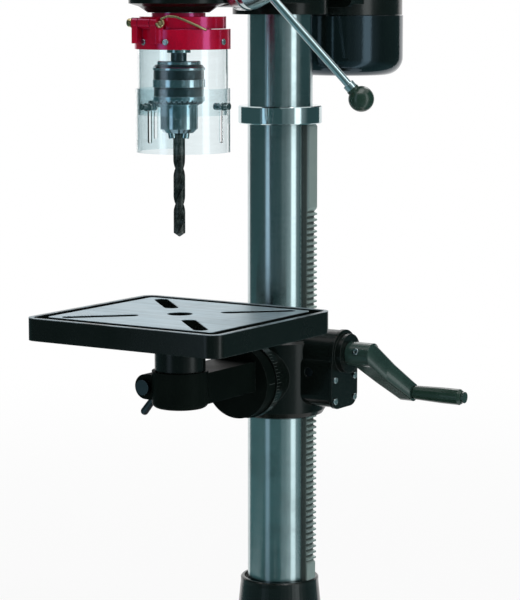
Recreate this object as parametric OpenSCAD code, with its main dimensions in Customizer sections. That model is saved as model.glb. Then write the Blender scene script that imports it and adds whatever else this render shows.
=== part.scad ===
// Benchtop drill press: base, column with rack, crank-lifted tilting table, head with quill feed,
// belt drive and motor. The column's axis is the Z axis, the bench is z = 0, the operator is at -Y.

/* [Layout] */
// Distance from the column's axis to the spindle's axis
throat = 190; // [186:1:210]
// Height of the head's underside above the bench
head_z = 731; // [715:1:780]
// Height of the table's top above the bench, at rest
table_z = 430; // [400:1:440]
// Height of the underside of the collar that holds the rack's top
collar_z = 615; // [600:1:640]

/* [Base] */
// Width of the base
base_w = 250; // [240:1:300]
// Distance from the column's axis to the base's front edge
base_front = 315; // [300:1:340]
// Distance from the column's axis to the base's back edge
base_back = 100; // [95:1:120]
// Height of the base
base_h = 40; // [34:1:50]
// Thickness of the base's side walls
base_wall = 10; // [7:1:14]
// Thickness of the base's top
base_top_t = 13; // [10:1:18]
// Corner radius of the base in plan
base_corner_r = 26; // [14:1:36]
// Diameter of the bench bolt holes
bench_bolt_d = 12; // [8:0.5:14]
// Distance between the two bolt holes of a pair
bench_bolt_gap = 206; // [196:1:212]
// Distance from the column's axis to the front pair of bolt holes
bench_bolt_front = 278; // [262:1:280]
// Width of the base's work slots
work_slot_w = 14; // [10:1:18]
// Length of the base's work slots
work_slot_l = 110; // [80:1:130]

/* [Column] */
// Outer diameter of the column
column_d = 70; // [68:0.5:74]
// Wall thickness of the column
column_wall = 5; // [3:0.5:8]
// Height of the column holder above the base
holder_h = 78; // [66:1:90]
// Width of the holder's rim round the rack groove
holder_rim = 6; // [5:0.5:9]
// Diameter of the holder's flange
holder_flange_d = 146; // [142:1:154]
// Thickness of the holder's flange
holder_flange_t = 14; // [10:1:18]
// Height of the rack collar
collar_h = 19; // [14:1:22]
// Outer diameter of the rack collar
collar_d = 90; // [88:1:96]

/* [Table lift] */
// Module of the rack's teeth
rack_module = 2; // [1.8:0.05:2.1]
// Width of the rack
rack_w = 16; // [12:1:18]
// Distance from the column's surface to the rack's tooth tips
rack_t = 7; // [6.5:0.1:8]
// Length of the rack's toothed part
rack_toothed_l = 390; // [340:1:395]
// Length of the rack's plain foot under the teeth
rack_foot = 17; // [12:1:24]
// Teeth on the lift pinion
lift_teeth = 12; // [12:1:14]
// Pitch radius of the worm
worm_r = 8; // [7.5:0.1:8.5]
// Diameter of the worm's shaft
worm_shaft_d = 14; // [11:0.5:15]
// Outer diameter of the bracket's sleeve
sleeve_d = 100; // [97:1:106]
// Distance from the tilt axis down to the sleeve's lower edge
sleeve_below = 46; // [44:1:58]
// Distance from the tilt axis up to the sleeve's upper edge
sleeve_above = 39; // [34:1:40]
// Distance from the column's axis to the gear housing's outer face
housing_x = 78; // [76:1:104]
// Half width of the gear housing
housing_r = 26; // [23:0.5:28]
// Thickness of the gear housing's cover
housing_cover_t = 4; // [3:0.5:8]
// Throw of the crank
crank_throw = 57; // [50:1:80]
// Length of the crank's grip
grip_l = 58; // [45:1:90]
// Diameter of the crank's grip
grip_d = 17; // [13:0.5:18]

/* [Table] */
// Width of the table
table_w = 234; // [210:1:236]
// Depth of the table
table_l = 216; // [190:1:217]
// Height of the table's skirt
table_skirt = 23; // [18:1:28]
// Thickness of the table's plate
table_plate_t = 12; // [10:0.5:14]
// Width of the table's raised rim
table_rim = 5; // [3:0.5:7]
// Width of the trough inside the rim
table_trough = 12; // [8:0.5:14]
// Depth of the trough
table_trough_t = 5; // [3:0.5:6]
// Corner radius of the table
table_corner_r = 14; // [13:0.5:20]
// Width of the table's diagonal slots
table_slot_w = 15; // [10:0.5:18]
// Diameter of the hole through the table and its stem
table_hole_d = 26; // [22:0.5:28]
// Diameter of the table's stem
stem_d = 42; // [38:0.5:44]
// Distance from the table's top down to the tilt axis
tilt_drop = 85; // [82:1:92]
// Radius of the bracket's tilt flange
tilt_flange_r = 41; // [40:1:50]
// Distance from the column's axis to the tilt joint's face
tilt_face = 70; // [64:1:76]

/* [Head] */
// Radius of the head's nose round the quill
nose_r = 50; // [46:0.5:54]
// Diameter of the quill
quill_d = 50; // [48:0.5:54]
// Travel of the quill
quill_travel = 80; // [60:1:84]
// Length of the quill under the head
quill_out = 31; // [30:0.5:36]
// Module of the feed pinion
feed_module = 1.5; // [1.4:0.05:1.6]
// Teeth on the feed pinion
feed_teeth = 15; // [14:1:16]
// Height of the feed axis above the head's underside
feed_rise = 38; // [34:1:44]
// Length of a feed rod from the feed axis to the middle of its ball
feed_rod_l = 162; // [130:1:175]
// Diameter of a feed rod
feed_rod_d = 8; // [7:0.5:10]
// Angle of the feed rods away from the plane of the hub
feed_rod_flare = 33; // [15:1:35]
// Diameter of a feed rod's ball
feed_ball_d = 26; // [22:0.5:32]

/* [Chuck and drill] */
// Outer diameter of the chuck's sleeve
chuck_sleeve_d = 53; // [50:0.5:56]
// Outer diameter of the chuck's nose
chuck_nose_d = 38; // [36:0.5:40]
// Height of the chuck
chuck_h = 72; // [68:1:78]
// Diameter of the drill bit
bit_d = 12; // [9:0.5:12.5]
// Length of the drill bit below the chuck
bit_out = 105; // [80:1:108]

/* [Chuck guard] */
// Angle that the guard is turned round the quill
guard_turn = -10; // [-20:1:10]
// Distance from the spindle's axis back to the guard's own axis
guard_back = 6; // [3:0.5:7]
// Outer radius of the guard's carrier ring
guard_r = 48; // [47:0.5:52]
// Height of the guard's carrier ring
guard_carrier_h = 20; // [16:1:24]
// Angle that the guard wraps round the chuck
guard_wrap = 250; // [225:1:255]
// Thickness of the clear shields
shield_t = 2; // [1.5:0.1:2.4]
// Height of the upper shield
shield_upper_h = 84; // [80:1:92]
// Height of the lower shield
shield_lower_h = 64; // [60:1:68]
// Travel of the lower shield
shield_travel = 34; // [26:1:35]

/* [Drive] */
// Radius of the motor's shell
motor_r = 63.5; // [56:0.5:66]
// Height of the motor's shell
motor_h = 146; // [130:1:150]
// Height of the motor's fan cover
fan_cover_h = 66; // [56:1:74]
// Radius of the fan cover's lower edge
fan_cover_edge = 20; // [12:1:26]
// Diameter of the air intake in the fan cover's floor
fan_intake_d = 40; // [30:1:44]
// Forward travel of the motor that slackens the belt
motor_travel = 10; // [6:1:11]
// Distance from the column's axis forward to the idler's axis
idler_y = 45; // [40:1:50]
// Height of a pulley step
pulley_step = 15; // [13:0.5:16]
// Radius of the belt cover's round ends
cover_r = 88; // [84:1:96]
// Height of the belt cover's lid
lid_h = 86; // [84:1:100]
// Wall thickness of the belt cover
cover_wall = 2.5; // [1.5:0.1:4]

/* [Fits] */
// Running clearance of turning and sliding fits, on the radius
run = 0.06; // [0.02:0.01:0.1]
// Seat clearance between pieces that are fixed together
seat = 0.02; // [0.01:0.01:0.05]
// Gap between neighbouring pieces that move past each other
gap = 0.3; // [0.25:0.01:0.5]

/* [Hidden] */
$fn = 64;
eps = 0.01;
far = 400;
pressure_angle = 20;
tooth_play = 0.3;

iron = [0.09, 0.1, 0.1];
steel = [0.72, 0.75, 0.78];
dark_steel = [0.22, 0.25, 0.28];
crimson = [0.75, 0.04, 0.2];
clear = [0.8, 0.88, 0.95, 0.35];
black_plastic = [0.08, 0.08, 0.09];

// Heights and radii along the column
column_r = column_d / 2;
holder_top = base_h + holder_h;
holder_floor = 8;
holder_bolt_at = holder_flange_d / 2 - 15;
holder_bolt_r = 5;
holder_head_r = 8.5;
diagonals = [45, 135, 225, 315];
tongue_t = 3.2;
tongue_l = 4;
column_top = head_z + 100;
rack_tip_x = column_r + rack_t;
rack_z0 = holder_top + gap;
rack_z1 = collar_z - gap;

// Rack and worm drive
rack_pitch = PI * rack_module;
lift_r = rack_module * lift_teeth / 2;
rack_add = 0.7 * rack_module;
lift_add = rack_module;
lift_ded = 0.95 * rack_module;
rack_ded = lift_add + 0.2 * rack_module;
lift_x = rack_tip_x - rack_add + lift_r;
tilt_z = table_z - tilt_drop;
lift_z = tilt_z + 7;
worm_z = lift_z + lift_r + worm_r;
worm_tip_r = worm_r + 0.5 * rack_module;
worm_core_r = worm_r - 1.1 * rack_module;
worm_x0 = rack_tip_x + 1.5;
worm_x1 = lift_x + lift_r;
lift_face = rack_w - 2;
lift_pin_r = 5;
housing_top_r = housing_r - 2;
housing_z0 = tilt_z - 31;
housing_corner_r = 14;
cover_x1 = housing_x + housing_cover_t;
crank_hub_r = worm_shaft_d / 2 + 6;
cover_boss_t = 7;
crank_hub_x0 = cover_x1 + cover_boss_t + gap;
crank_hub_x1 = crank_hub_x0 + 28;
crank_angle = 48;
crank_pin_r = 4;
crank_web_r = 11;
crank_web_t = 17;
crank_end_r = 9.5;
crank_end_t = 15;
grip_x0 = crank_hub_x1 + 29;

// Bracket, arm and table
sleeve_r = sleeve_d / 2;
sleeve_z0 = tilt_z - sleeve_below;
sleeve_z1 = tilt_z + sleeve_above;
slit_w = 3;
ear_x = sleeve_r + 12;
ear_r = 13;
lock_bolt_r = 5;
lever_hub_r = 8;
lever_tip_r = 4.2;
ear_l = 17;
clamp_l = 15;
tilt_bolt_r = 8;
skirt_z = table_z - table_skirt;
boss_r = stem_d / 2 + 8;
boss_edge = 6;
boss_z0 = tilt_z - 11;
boss_z1 = tilt_z + 27;
arm_flange_t = 16;
arm_face = tilt_face + gap;
clamp_x = boss_r + 4;
clamp_z = tilt_z + 9;
table_half = [table_w / 2, table_l / 2];
slot_r0 = table_hole_d / 2 + 37;
slot_r1 = sqrt(2) * (min(table_w, table_l) / 2 - table_rim - table_trough - table_slot_w / 2 - 3.5);

// Head, quill and spindle
feed_r = feed_module * feed_teeth / 2;
feed_z = head_z + feed_rise;
quill_r = quill_d / 2;
quill_z0 = head_z - quill_out;
quill_z1 = feed_z + quill_travel + 25;
feed_add = feed_module;
feed_ded = 1.2 * feed_module;
quill_add = 0.85 * feed_module;
quill_ded = feed_add + 0.3 * feed_module;
quill_rack_y = quill_r - 0.8 - quill_add;
feed_y = -throat + quill_rack_y + feed_r;
head_z1 = quill_z1 + 19;
head_w = 2 * nose_r - 4;
boss_d = column_d + 32;
nose_z0 = head_z + 3;
head_screw_zs = [head_z + 25, head_z + 75];
tension_y = 16;
tension_r = 4;
feed_boss_r = 30;
feed_face = nose_r + 1;
feed_shaft_r = 9;
feed_bore_r = feed_r + feed_add + 0.4;
cap_r = 28;
cap_l = 26;
feed_stud_r = 5;
bearing_r = quill_r - 4;
bearing_h = 12;
spindle_r = 12;
spline_r = 8;
spindle_z0 = quill_z0 - 6;
pulley_z0 = head_z1 + 8;
spindle_drive_l = 71;
spindle_z1 = pulley_z0 + spindle_drive_l;
drive_sleeve_r = 14;
arbor_r = 8;
arbor_seat_l = 48;
arbor_chuck_l = 20;
chuck_z1 = quill_z0 - 14;
chuck_z0 = chuck_z1 - chuck_h;
sleeve_ring_z0 = chuck_z0 + 29;
sleeve_ring_z1 = chuck_z1 - 4;
chuck_core_r = chuck_nose_d / 2 + 1.5;
bit_r = bit_d / 2;
bit_z0 = chuck_z0 - bit_out;
jaw_r = 4;
jaw_lean = 10;
jaw_tip_z = chuck_z0 - 5;
jaw_l = 32;
jaw_travel = 8;

// Feed hub, on the feed axis
ring_x0 = feed_face + gap;
ring_x1 = ring_x0 + 10;
hub_x0 = ring_x1 + gap;
hub_x1 = hub_x0 + 29;
hub_r0 = 32;
hub_r1 = 23;
feed_rod_x = hub_x0 + 6;
rod_angles = [-63, 57, 177];

// Chuck guard, in a frame whose origin is on the spindle's axis
collar_ring_r = guard_r - 4.5;
guard_z1 = head_z - 1;
guard_ring_z0 = guard_z1 - 12;
carrier_z1 = guard_ring_z0 - gap;
carrier_z0 = carrier_z1 - guard_carrier_h;
hinge_r = 2.5;
guard_hinge_y = guard_back - guard_r - 3;
guard_hinge_z = guard_ring_z0 + 6;
upper_r1 = guard_r - 2.4;
lower_r0 = upper_r1 + gap;
upper_z1 = carrier_z1 - 1.5;
upper_z0 = upper_z1 - shield_upper_h;
lower_z0 = upper_z0 - 37.5;
lower_z1 = lower_z0 + shield_lower_h;
wing_z = upper_z0 + 9;
wing_angles = [-98, 0, 98];
wing_r = 2;

// Drive
motor_z0 = head_z - 68;
shell_z0 = motor_z0 + fan_cover_h + 0.5;
shell_z1 = shell_z0 + motor_h;
motor_pad = 2.5;
plate_y0 = boss_d / 2 + motor_travel + 1;
plate_y1 = plate_y0 + 8;
motor_y = plate_y1 + motor_r + motor_pad;
slide_rod_z = column_top + 27;
slide_rod_r = 8;
slide_rod_x = 34;
slide_rod_y0 = boss_d / 2 - 78;
motor_shaft_r = 8;
stud_x = 40;
stud_zs = [shell_z0 + 25, shell_z1 - 45];
motor_radii = [23, 30, 37, 44];
idler_radii = [61, 54, 47, 40];
spindle_radii = [40, 47, 54, 61];
groove_t = 8;
belt_t = 6.5;
belt_h = pulley_step - 9.4;
post_r = 8;
tray_t = 3;
tray_z1 = head_z1 + tray_t;
lid_z0 = tray_z1 + gap;
lid_z1 = lid_z0 + lid_h;
lid_hinge_x = -cover_r - 5;
lid_hinge_z = lid_z0 + 6;
lid_pin_r = 2;
knuckle_r = 4.5;
knuckle_l = 28;
box_y1 = -throat - nose_r - 28;
button_travel = 4;
start_r = 9;
stop_r = 13;
start_z = head_z1 - 28;
stop_z = head_z1 - 64;

// Cylinder along X from x0 to x1
module rod_x(r, x0, x1) {
    translate([x0, 0, 0]) rotate([0, 90, 0]) cylinder(r = r, h = x1 - x0);
}

// Cylinder along Y from y0 to y1
module rod_y(r, y0, y1) {
    translate([0, y0, 0]) rotate([-90, 0, 0]) cylinder(r = r, h = y1 - y0);
}

// Cylinder along Z from z0 to z1
module rod_z(r, z0, z1) {
    translate([0, 0, z0]) cylinder(r = r, h = z1 - z0);
}

// Box from the low corner to the high corner
module box(low, high) {
    translate(low) cube(high - low);
}

// Rectangle with round corners, given by its low and high corners
module round_rect(low, high, r) {
    translate(low + [r, 0]) square([high[0] - low[0] - 2 * r, high[1] - low[1]]);
    translate(low + [0, r]) square([high[0] - low[0], high[1] - low[1] - 2 * r]);
    for (x = [low[0] + r, high[0] - r])
        for (y = [low[1] + r, high[1] - r])
            translate([x, y]) circle(r);
}

// Slot with round ends, of width w, from x0 to x1 along X
module slot_2d(w, x0, x1) {
    translate([x0, -w / 2]) square([x1 - x0, w]);
    translate([x0, 0]) circle(w / 2);
    translate([x1, 0]) circle(w / 2);
}

// Round piece of radius r and height h that stands on z = 0, with its lower edge rounded by edge
module cup(r, edge, h) {
    cylinder(r = r - edge, h = h);
    translate([0, 0, edge]) {
        cylinder(r = r, h = h - edge);
        rotate_extrude()
            intersection() {
                translate([r - edge, 0]) circle(edge);
                translate([0, -edge]) square([r, 2 * edge]);
            }
    }
}

// Outline made of two equal round ends at y0 and y1
module long_oval(r, y0, y1) {
    translate([-r, y0]) square([2 * r, y1 - y0]);
    translate([0, y0]) circle(r);
    translate([0, y1]) circle(r);
}

// Repeats its children turned about Z by each of the angles
module around(angles) {
    for (a = angles)
        rotate([0, 0, a]) children();
}

// Involute of the pressure angle a, in degrees
function involute(a) = tan(a) * 180 / PI - a;
// Half the angle that a tooth takes up at the radius r
function flank(r, pitch_r, base_r, half) =
    half + involute(pressure_angle) - involute(r > base_r ? acos(base_r / r) : 0);
// Radii of the points along one flank
function flank_radii(root_r, base_r, tip_r) =
    concat([root_r], [for (k = [0:4]) base_r + (tip_r - base_r) * k / 4]);
// Outline of a spur gear with a tooth centred on the X axis
function gear_outline(m, teeth, add, ded) =
    let (
        pitch_r = m * teeth / 2,
        base_r = pitch_r * cos(pressure_angle),
        half = 90 / teeth - tooth_play / 2 / pitch_r * 180 / PI,
        radii = flank_radii(pitch_r - ded, base_r, pitch_r + add),
        n = len(radii)
    )
    [for (i = [0:teeth - 1])
        for (k = [0:2 * n - 1])
            let (
                up = k < n,
                r = radii[up ? k : 2 * n - 1 - k],
                a = i * 360 / teeth + (up ? -1 : 1) * flank(r, pitch_r, base_r, half)
            )
            r * [cos(a), sin(a)]];
// Points of rack teeth from k0 to k1, as [height of the tooth over the pitch line, place along the rack]
function rack_outline(m, add, ded, k0, k1) =
    let (half = PI * m / 4 - tooth_play / 2, lean = tan(pressure_angle))
    [for (k = [k0:k1])
        for (p = [[-ded, -half - ded * lean], [add, -half + add * lean],
                  [add, half - add * lean], [-ded, half + ded * lean]])
            [p[0], p[1] + (k + 0.5) * PI * m]];

// Clamp bolt with a lever: bolt along Y through the ears, lever in the XZ plane at angle a from +X
module lock_lever(y0, y1, lever_l, a) {
    rod_y(lock_bolt_r, y0, y1);
    rod_y(lever_hub_r, y0 - 6, y0);
    rod_y(lever_hub_r, y1, y1 + 12);
    translate([0, y1 + 6, 0])
        rotate([0, -a, 0]) {
            rotate([0, 90, 0]) cylinder(r1 = 3.2, r2 = lever_tip_r, h = lever_l);
            translate([lever_l, 0, 0]) sphere(lever_tip_r);
        }
}

// Plain bearing ring from radius r0 to r1
module bearing(r0, r1, z0, z1) {
    rotate_extrude()
        polygon([[r0, z0], [r1, z0], [r1, z1], [r0, z1]]);
}

// Step pulley with a V groove on each step, given from the lowest step up
module step_pulley(radii, bore_r) {
    steps = [for (k = [0:len(radii) - 1])
        for (p = [[0, 0], [0, 2], [-groove_t, 5],
                  [-groove_t, pulley_step - 5], [0, pulley_step - 2], [0, pulley_step]])
            [radii[k] + p[0], k * pulley_step + p[1]]];
    translate([0, 0, pulley_z0])
        rotate_extrude()
            polygon(concat([[bore_r, 0]], steps, [[bore_r, len(radii) * pulley_step]]));
}

// Belt on the given step, round two pulleys of radii ra at ya and rb at yb
module belt(step, ra, ya, rb, yb) {
    translate([0, 0, pulley_z0 + step * pulley_step + (pulley_step - belt_h) / 2])
        linear_extrude(belt_h)
            difference() {
                hull() {
                    translate([0, ya]) circle(ra);
                    translate([0, yb]) circle(rb);
                }
                hull() {
                    translate([0, ya]) circle(ra - belt_t);
                    translate([0, yb]) circle(rb - belt_t);
                }
            }
}

module base() {
    low = [-base_w / 2, -base_front];
    high = [base_w / 2, base_back];
    inset = [base_wall, base_wall];
    bolt_ys = [0, -bench_bolt_front];
    rib_y = -throat + work_slot_l / 2 + work_slot_w / 2;
    color(iron)
        difference() {
            union() {
                difference() {
                    linear_extrude(base_h) round_rect(low, high, base_corner_r);
                    translate([0, 0, -eps])
                        linear_extrude(base_h - base_top_t + eps)
                            round_rect(low + inset, high - inset, base_corner_r - base_wall);
                }
                for (x = [-1, 1])
                    for (y = bolt_ys)
                        translate([x * bench_bolt_gap / 2, y, 0])
                            cylinder(r = bench_bolt_d / 2 + 8, h = base_h);
                box([low[0] + base_wall / 2, rib_y, 6], [high[0] - base_wall / 2, rib_y + 8, base_h]);
                around(diagonals)
                    translate([holder_bolt_at, 0, 4]) cylinder(r = holder_bolt_r + 6, h = base_h - 4);
            }
            for (x = [-1, 1])
                for (y = bolt_ys)
                    translate([x * bench_bolt_gap / 2, y, -1]) cylinder(d = bench_bolt_d, h = base_h + 2);
            for (x = [-1, 1])
                translate([x * 58, -throat, -1])
                    linear_extrude(base_h + 2)
                        rotate(90) slot_2d(work_slot_w, -work_slot_l / 2, work_slot_l / 2);
            around(diagonals)
                translate([holder_bolt_at, 0, base_h - 22]) cylinder(r = holder_bolt_r + seat, h = 23);
        }
}

module column_holder() {
    top_r = column_r + gap + tongue_t + 0.3 + holder_rim - 2;
    color(iron)
        difference() {
            translate([0, 0, base_h])
                rotate_extrude()
                    polygon([
                        [0, 0], [holder_flange_d / 2, 0], [holder_flange_d / 2, holder_flange_t - 3],
                        [holder_flange_d / 2 - 3, holder_flange_t], [top_r + 11, holder_flange_t],
                        [top_r + 5, holder_flange_t + 8], [top_r, holder_h - 6], [top_r, holder_h - 1.5],
                        [top_r - 1.5, holder_h], [0, holder_h]
                    ]);
            rod_z(column_r + 2 * run, base_h + holder_floor, holder_top + 1);
            rod_z(column_r + tongue_t + 2 * gap, holder_top - tongue_l - 2 * gap, holder_top + 1);
            around(diagonals)
                translate([holder_bolt_at, 0, base_h - 1]) {
                    cylinder(r = holder_bolt_r + seat, h = holder_h);
                    translate([0, 0, 1 + holder_flange_t]) cylinder(r = holder_head_r + 1, h = holder_h);
                }
        }
}

module holder_bolts() {
    color(dark_steel)
        around(diagonals)
            translate([holder_bolt_at, 0, base_h]) {
                translate([0, 0, -20]) cylinder(r = holder_bolt_r, h = 20 + holder_flange_t);
                translate([0, 0, holder_flange_t]) cylinder(r = holder_head_r, h = 7, $fn = 6);
            }
}

module column() {
    color(steel)
        difference() {
            rod_z(column_r, base_h + holder_floor, column_top);
            rod_z(column_r - column_wall, base_h + holder_floor - 1, column_top + 1);
        }
}

module rack_collar() {
    color(steel)
        difference() {
            translate([0, 0, collar_z])
                rotate_extrude()
                    polygon([
                        [0, 0], [collar_d / 2 - 1, 0], [collar_d / 2, 1], [collar_d / 2, collar_h - 1],
                        [collar_d / 2 - 1, collar_h], [0, collar_h]
                    ]);
            rod_z(column_r + seat, collar_z - 1, collar_z + collar_h + 1);
            rod_z(column_r + tongue_t + 2 * gap, collar_z - 1, collar_z + tongue_l + 2 * gap);
            translate([0, 0, collar_z + collar_h / 2 + 2]) rod_y(3 + seat, 0, collar_d);
        }
}

module set_screws() {
    color(dark_steel) {
        translate([0, 0, collar_z + collar_h / 2 + 2]) rod_y(3, column_r + seat, collar_d / 2 + 3);
        for (z = head_screw_zs)
            translate([0, 0, z]) rod_x(4, -boss_d / 2 - 4, -column_r - seat);
    }
}

module rack() {
    k0 = ceil((rack_z0 + rack_foot - lift_z) / rack_pitch);
    k1 = floor((rack_z0 + rack_foot + rack_toothed_l - lift_z) / rack_pitch) - 1;
    pitch_x = rack_tip_x - rack_add;
    teeth = [for (p = rack_outline(rack_module, rack_add, rack_ded, k0, k1))
        [pitch_x + p[0], lift_z + p[1]]];
    last = teeth[len(teeth) - 1][1];
    inner = column_r - 6;
    color(steel)
        difference() {
            union() {
                rotate([90, 0, 0])
                    linear_extrude(rack_w, center = true)
                        polygon(concat(
                            [[inner, rack_z0], [rack_tip_x - 1, rack_z0],
                             [rack_tip_x - 1, teeth[0][1] - 3]],
                            teeth,
                            [[rack_tip_x - 1, last + 3], [rack_tip_x, last + 5], [rack_tip_x, rack_z1 - 2],
                             [rack_tip_x - 2, rack_z1], [inner, rack_z1]]
                        ));
                intersection() {
                    rod_z(column_r + tongue_t, rack_z0 - tongue_l, rack_z1 + tongue_l);
                    box([0, -rack_w / 2, 0], [far, rack_w / 2, 3 * far]);
                }
            }
            rod_z(column_r + run, rack_z0 - 2 * tongue_l, rack_z1 + 2 * tongue_l);
        }
}

// Outline of the gear housing seen along X, as [y, z]
module housing_2d(r0, r1) {
    round_rect([-r0, housing_z0 + housing_r - r0], [r0, worm_z], housing_corner_r);
    translate([0, worm_z]) circle(r1);
}

// Stands an outline drawn as [y, z] up and extrudes it along X from x0 to x1
module along_x(x0, x1) {
    translate([x0, 0, 0]) rotate([90, 0, 90]) linear_extrude(x1 - x0) children();
}

module table_bracket() {
    color(iron)
        difference() {
            union() {
                translate([0, 0, sleeve_z0])
                    rotate_extrude()
                        polygon([
                            [0, 0], [sleeve_r - 8, 0], [sleeve_r - 3, 2], [sleeve_r, 7],
                            [sleeve_r, sleeve_below + sleeve_above - 3],
                            [sleeve_r - 3, sleeve_below + sleeve_above], [0, sleeve_below + sleeve_above]
                        ]);
                translate([0, 0, tilt_z]) {
                    rod_y(tilt_flange_r, -tilt_face, -tilt_face + 12);
                    rod_y(tilt_flange_r - 6, -tilt_face + 2, 0);
                }
                along_x(0, housing_x) housing_2d(housing_r, housing_top_r);
                translate([-ear_x, 0, tilt_z]) rod_y(ear_r, -ear_l, ear_l);
                box([-ear_x, -ear_l, tilt_z - ear_r], [0, ear_l, tilt_z + ear_r]);
            }
            rod_z(column_r + run, sleeve_z0 - 1, sleeve_z1 + 60);
            box([0, -rack_w / 2 - gap, sleeve_z0 - 1],
                [rack_tip_x + gap, rack_w / 2 + gap, sleeve_z1 + 60]);
            box([-far, -slit_w / 2, sleeve_z0 - 1], [0, slit_w / 2, sleeve_z1 + 1]);
            translate([-ear_x, 0, tilt_z]) rod_y(lock_bolt_r + run, -far, far);
            translate([lift_x, 0, lift_z]) {
                rod_y(lift_r + lift_add + 1, -lift_face / 2 - gap, lift_face / 2 + gap);
                rod_y(lift_pin_r + run, -far, far);
            }
            box([column_r, -lift_face / 2 - gap, lift_z - 8], [lift_x, lift_face / 2 + gap, lift_z + 8]);
            translate([0, 0, worm_z]) rod_x(worm_tip_r + 1, worm_x0 - 1, housing_x + 1);
            translate([0, 0, tilt_z]) rod_y(tilt_bolt_r + seat, -tilt_face - 1, -column_r - 6);
        }
}

module gear_cover() {
    color(iron)
        difference() {
            union() {
                along_x(housing_x, cover_x1) housing_2d(housing_r + 1, housing_top_r + 1);
                translate([0, 0, worm_z]) {
                    rod_x(worm_tip_r + 1 - seat, housing_x - 8, housing_x + 1);
                    rod_x(housing_top_r - 3, cover_x1 - 1, cover_x1 + cover_boss_t);
                }
            }
            translate([0, 0, worm_z]) rod_x(worm_shaft_d / 2 + run, worm_x0, far);
        }
}

module lift_pinion() {
    color(dark_steel)
        translate([lift_x, 0, lift_z]) {
            rotate([90, 180, 0])
                linear_extrude(lift_face, center = true)
                    polygon(gear_outline(rack_module, lift_teeth, lift_add, lift_ded));
            rod_y(lift_pin_r, -housing_r + 1, housing_r - 1);
        }
}

// One turn of thread for each pitch, swept round X; the thread is thinner than the tooth space it runs in
module worm_thread(x0, x1, r0, r1, w0, w1) {
    n = 24;
    phase = 180;
    rings = floor((x1 - x0) / rack_pitch * n);
    section = [[-w0 / 2, r0], [-w1 / 2, r1], [w1 / 2, r1], [w0 / 2, r0]];
    points = [for (i = [0:rings])
        for (p = section)
            let (a = phase + i * 360 / n, x = x0 + i * rack_pitch / n)
            [x + p[0], -p[1] * sin(a), p[1] * cos(a)]];
    sides = [for (i = [0:rings - 1])
        for (j = [0:3])
            for (t = [[0, 1, 5], [0, 5, 4]])
                [for (q = t) i * 4 + (q % 4 + j) % 4 + (q > 3 ? 4 : 0)]];
    ends = [[0, 3, 2], [0, 2, 1], [for (q = [0, 1, 2]) rings * 4 + q], [for (q = [0, 2, 3]) rings * 4 + q]];
    polyhedron(points, concat(sides, ends));
}

module worm_shaft() {
    turned = lift_teeth / 4 - floor(lift_teeth / 4);
    middle = lift_x + rack_pitch * (0.5 - turned);
    first = middle - rack_pitch * floor((middle - worm_x0 - 1.5) / rack_pitch);
    color(steel)
        translate([0, 0, worm_z]) {
            worm_thread(first, worm_x1, worm_core_r - 0.8, worm_tip_r, 2.4, 1.2);
            rod_x(worm_core_r, worm_x0, housing_x - 8 - gap);
            rod_x(worm_shaft_d / 2, housing_x - 8 - 2 * gap, crank_hub_x1 - 6);
        }
}

// Places children on the grip's axis, out from the worm's axis by the throw
module crank_end() {
    translate([0, crank_throw * cos(crank_angle), worm_z - crank_throw * sin(crank_angle)]) children();
}

module crank_arm() {
    bend_x = crank_hub_x1 - 5;
    bend = 0.5 * crank_throw * [0, cos(crank_angle), -sin(crank_angle)] + [0, 0, worm_z];
    color(iron)
        difference() {
            union() {
                translate([0, 0, worm_z]) rod_x(crank_hub_r, crank_hub_x0, crank_hub_x1);
                hull() {
                    translate([0, 0, worm_z])
                        rod_x(crank_hub_r - 1, crank_hub_x0 + 6, crank_hub_x1, $fn = 32);
                    translate(bend) rod_x(crank_web_r, bend_x, bend_x + crank_web_t, $fn = 32);
                }
                hull() {
                    translate(bend) rod_x(crank_web_r, bend_x, bend_x + crank_web_t, $fn = 32);
                    crank_end() rod_x(crank_end_r, grip_x0 - crank_end_t, grip_x0 - gap, $fn = 32);
                }
                crank_end() {
                    rod_x(crank_pin_r, grip_x0 - 8, grip_x0 + grip_l + 2);
                    rod_x(6, grip_x0 + grip_l + gap, grip_x0 + grip_l + 3);
                }
            }
            translate([0, 0, worm_z]) rod_x(worm_shaft_d / 2 + seat, crank_hub_x0 - 1, crank_hub_x1 - 5);
        }
}

module crank_grip() {
    color(black_plastic)
        crank_end()
            difference() {
                translate([grip_x0, 0, 0])
                    rotate([0, 90, 0])
                        rotate_extrude()
                            polygon([
                                [0, 0], [grip_d / 2 - 2, 0], [grip_d / 2 - 1, 2],
                                [grip_d / 2, grip_l * 0.6], [grip_d / 2, grip_l - 3],
                                [grip_d / 2 - 2, grip_l], [0, grip_l]
                            ]);
                rod_x(crank_pin_r + run, grip_x0 - 1, grip_x0 + grip_l + 1);
            }
}

module bracket_lock_lever() {
    color(dark_steel)
        translate([-ear_x, 0, tilt_z])
            lock_lever(-ear_l - gap, ear_l + gap, 52, 115);
}

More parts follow.
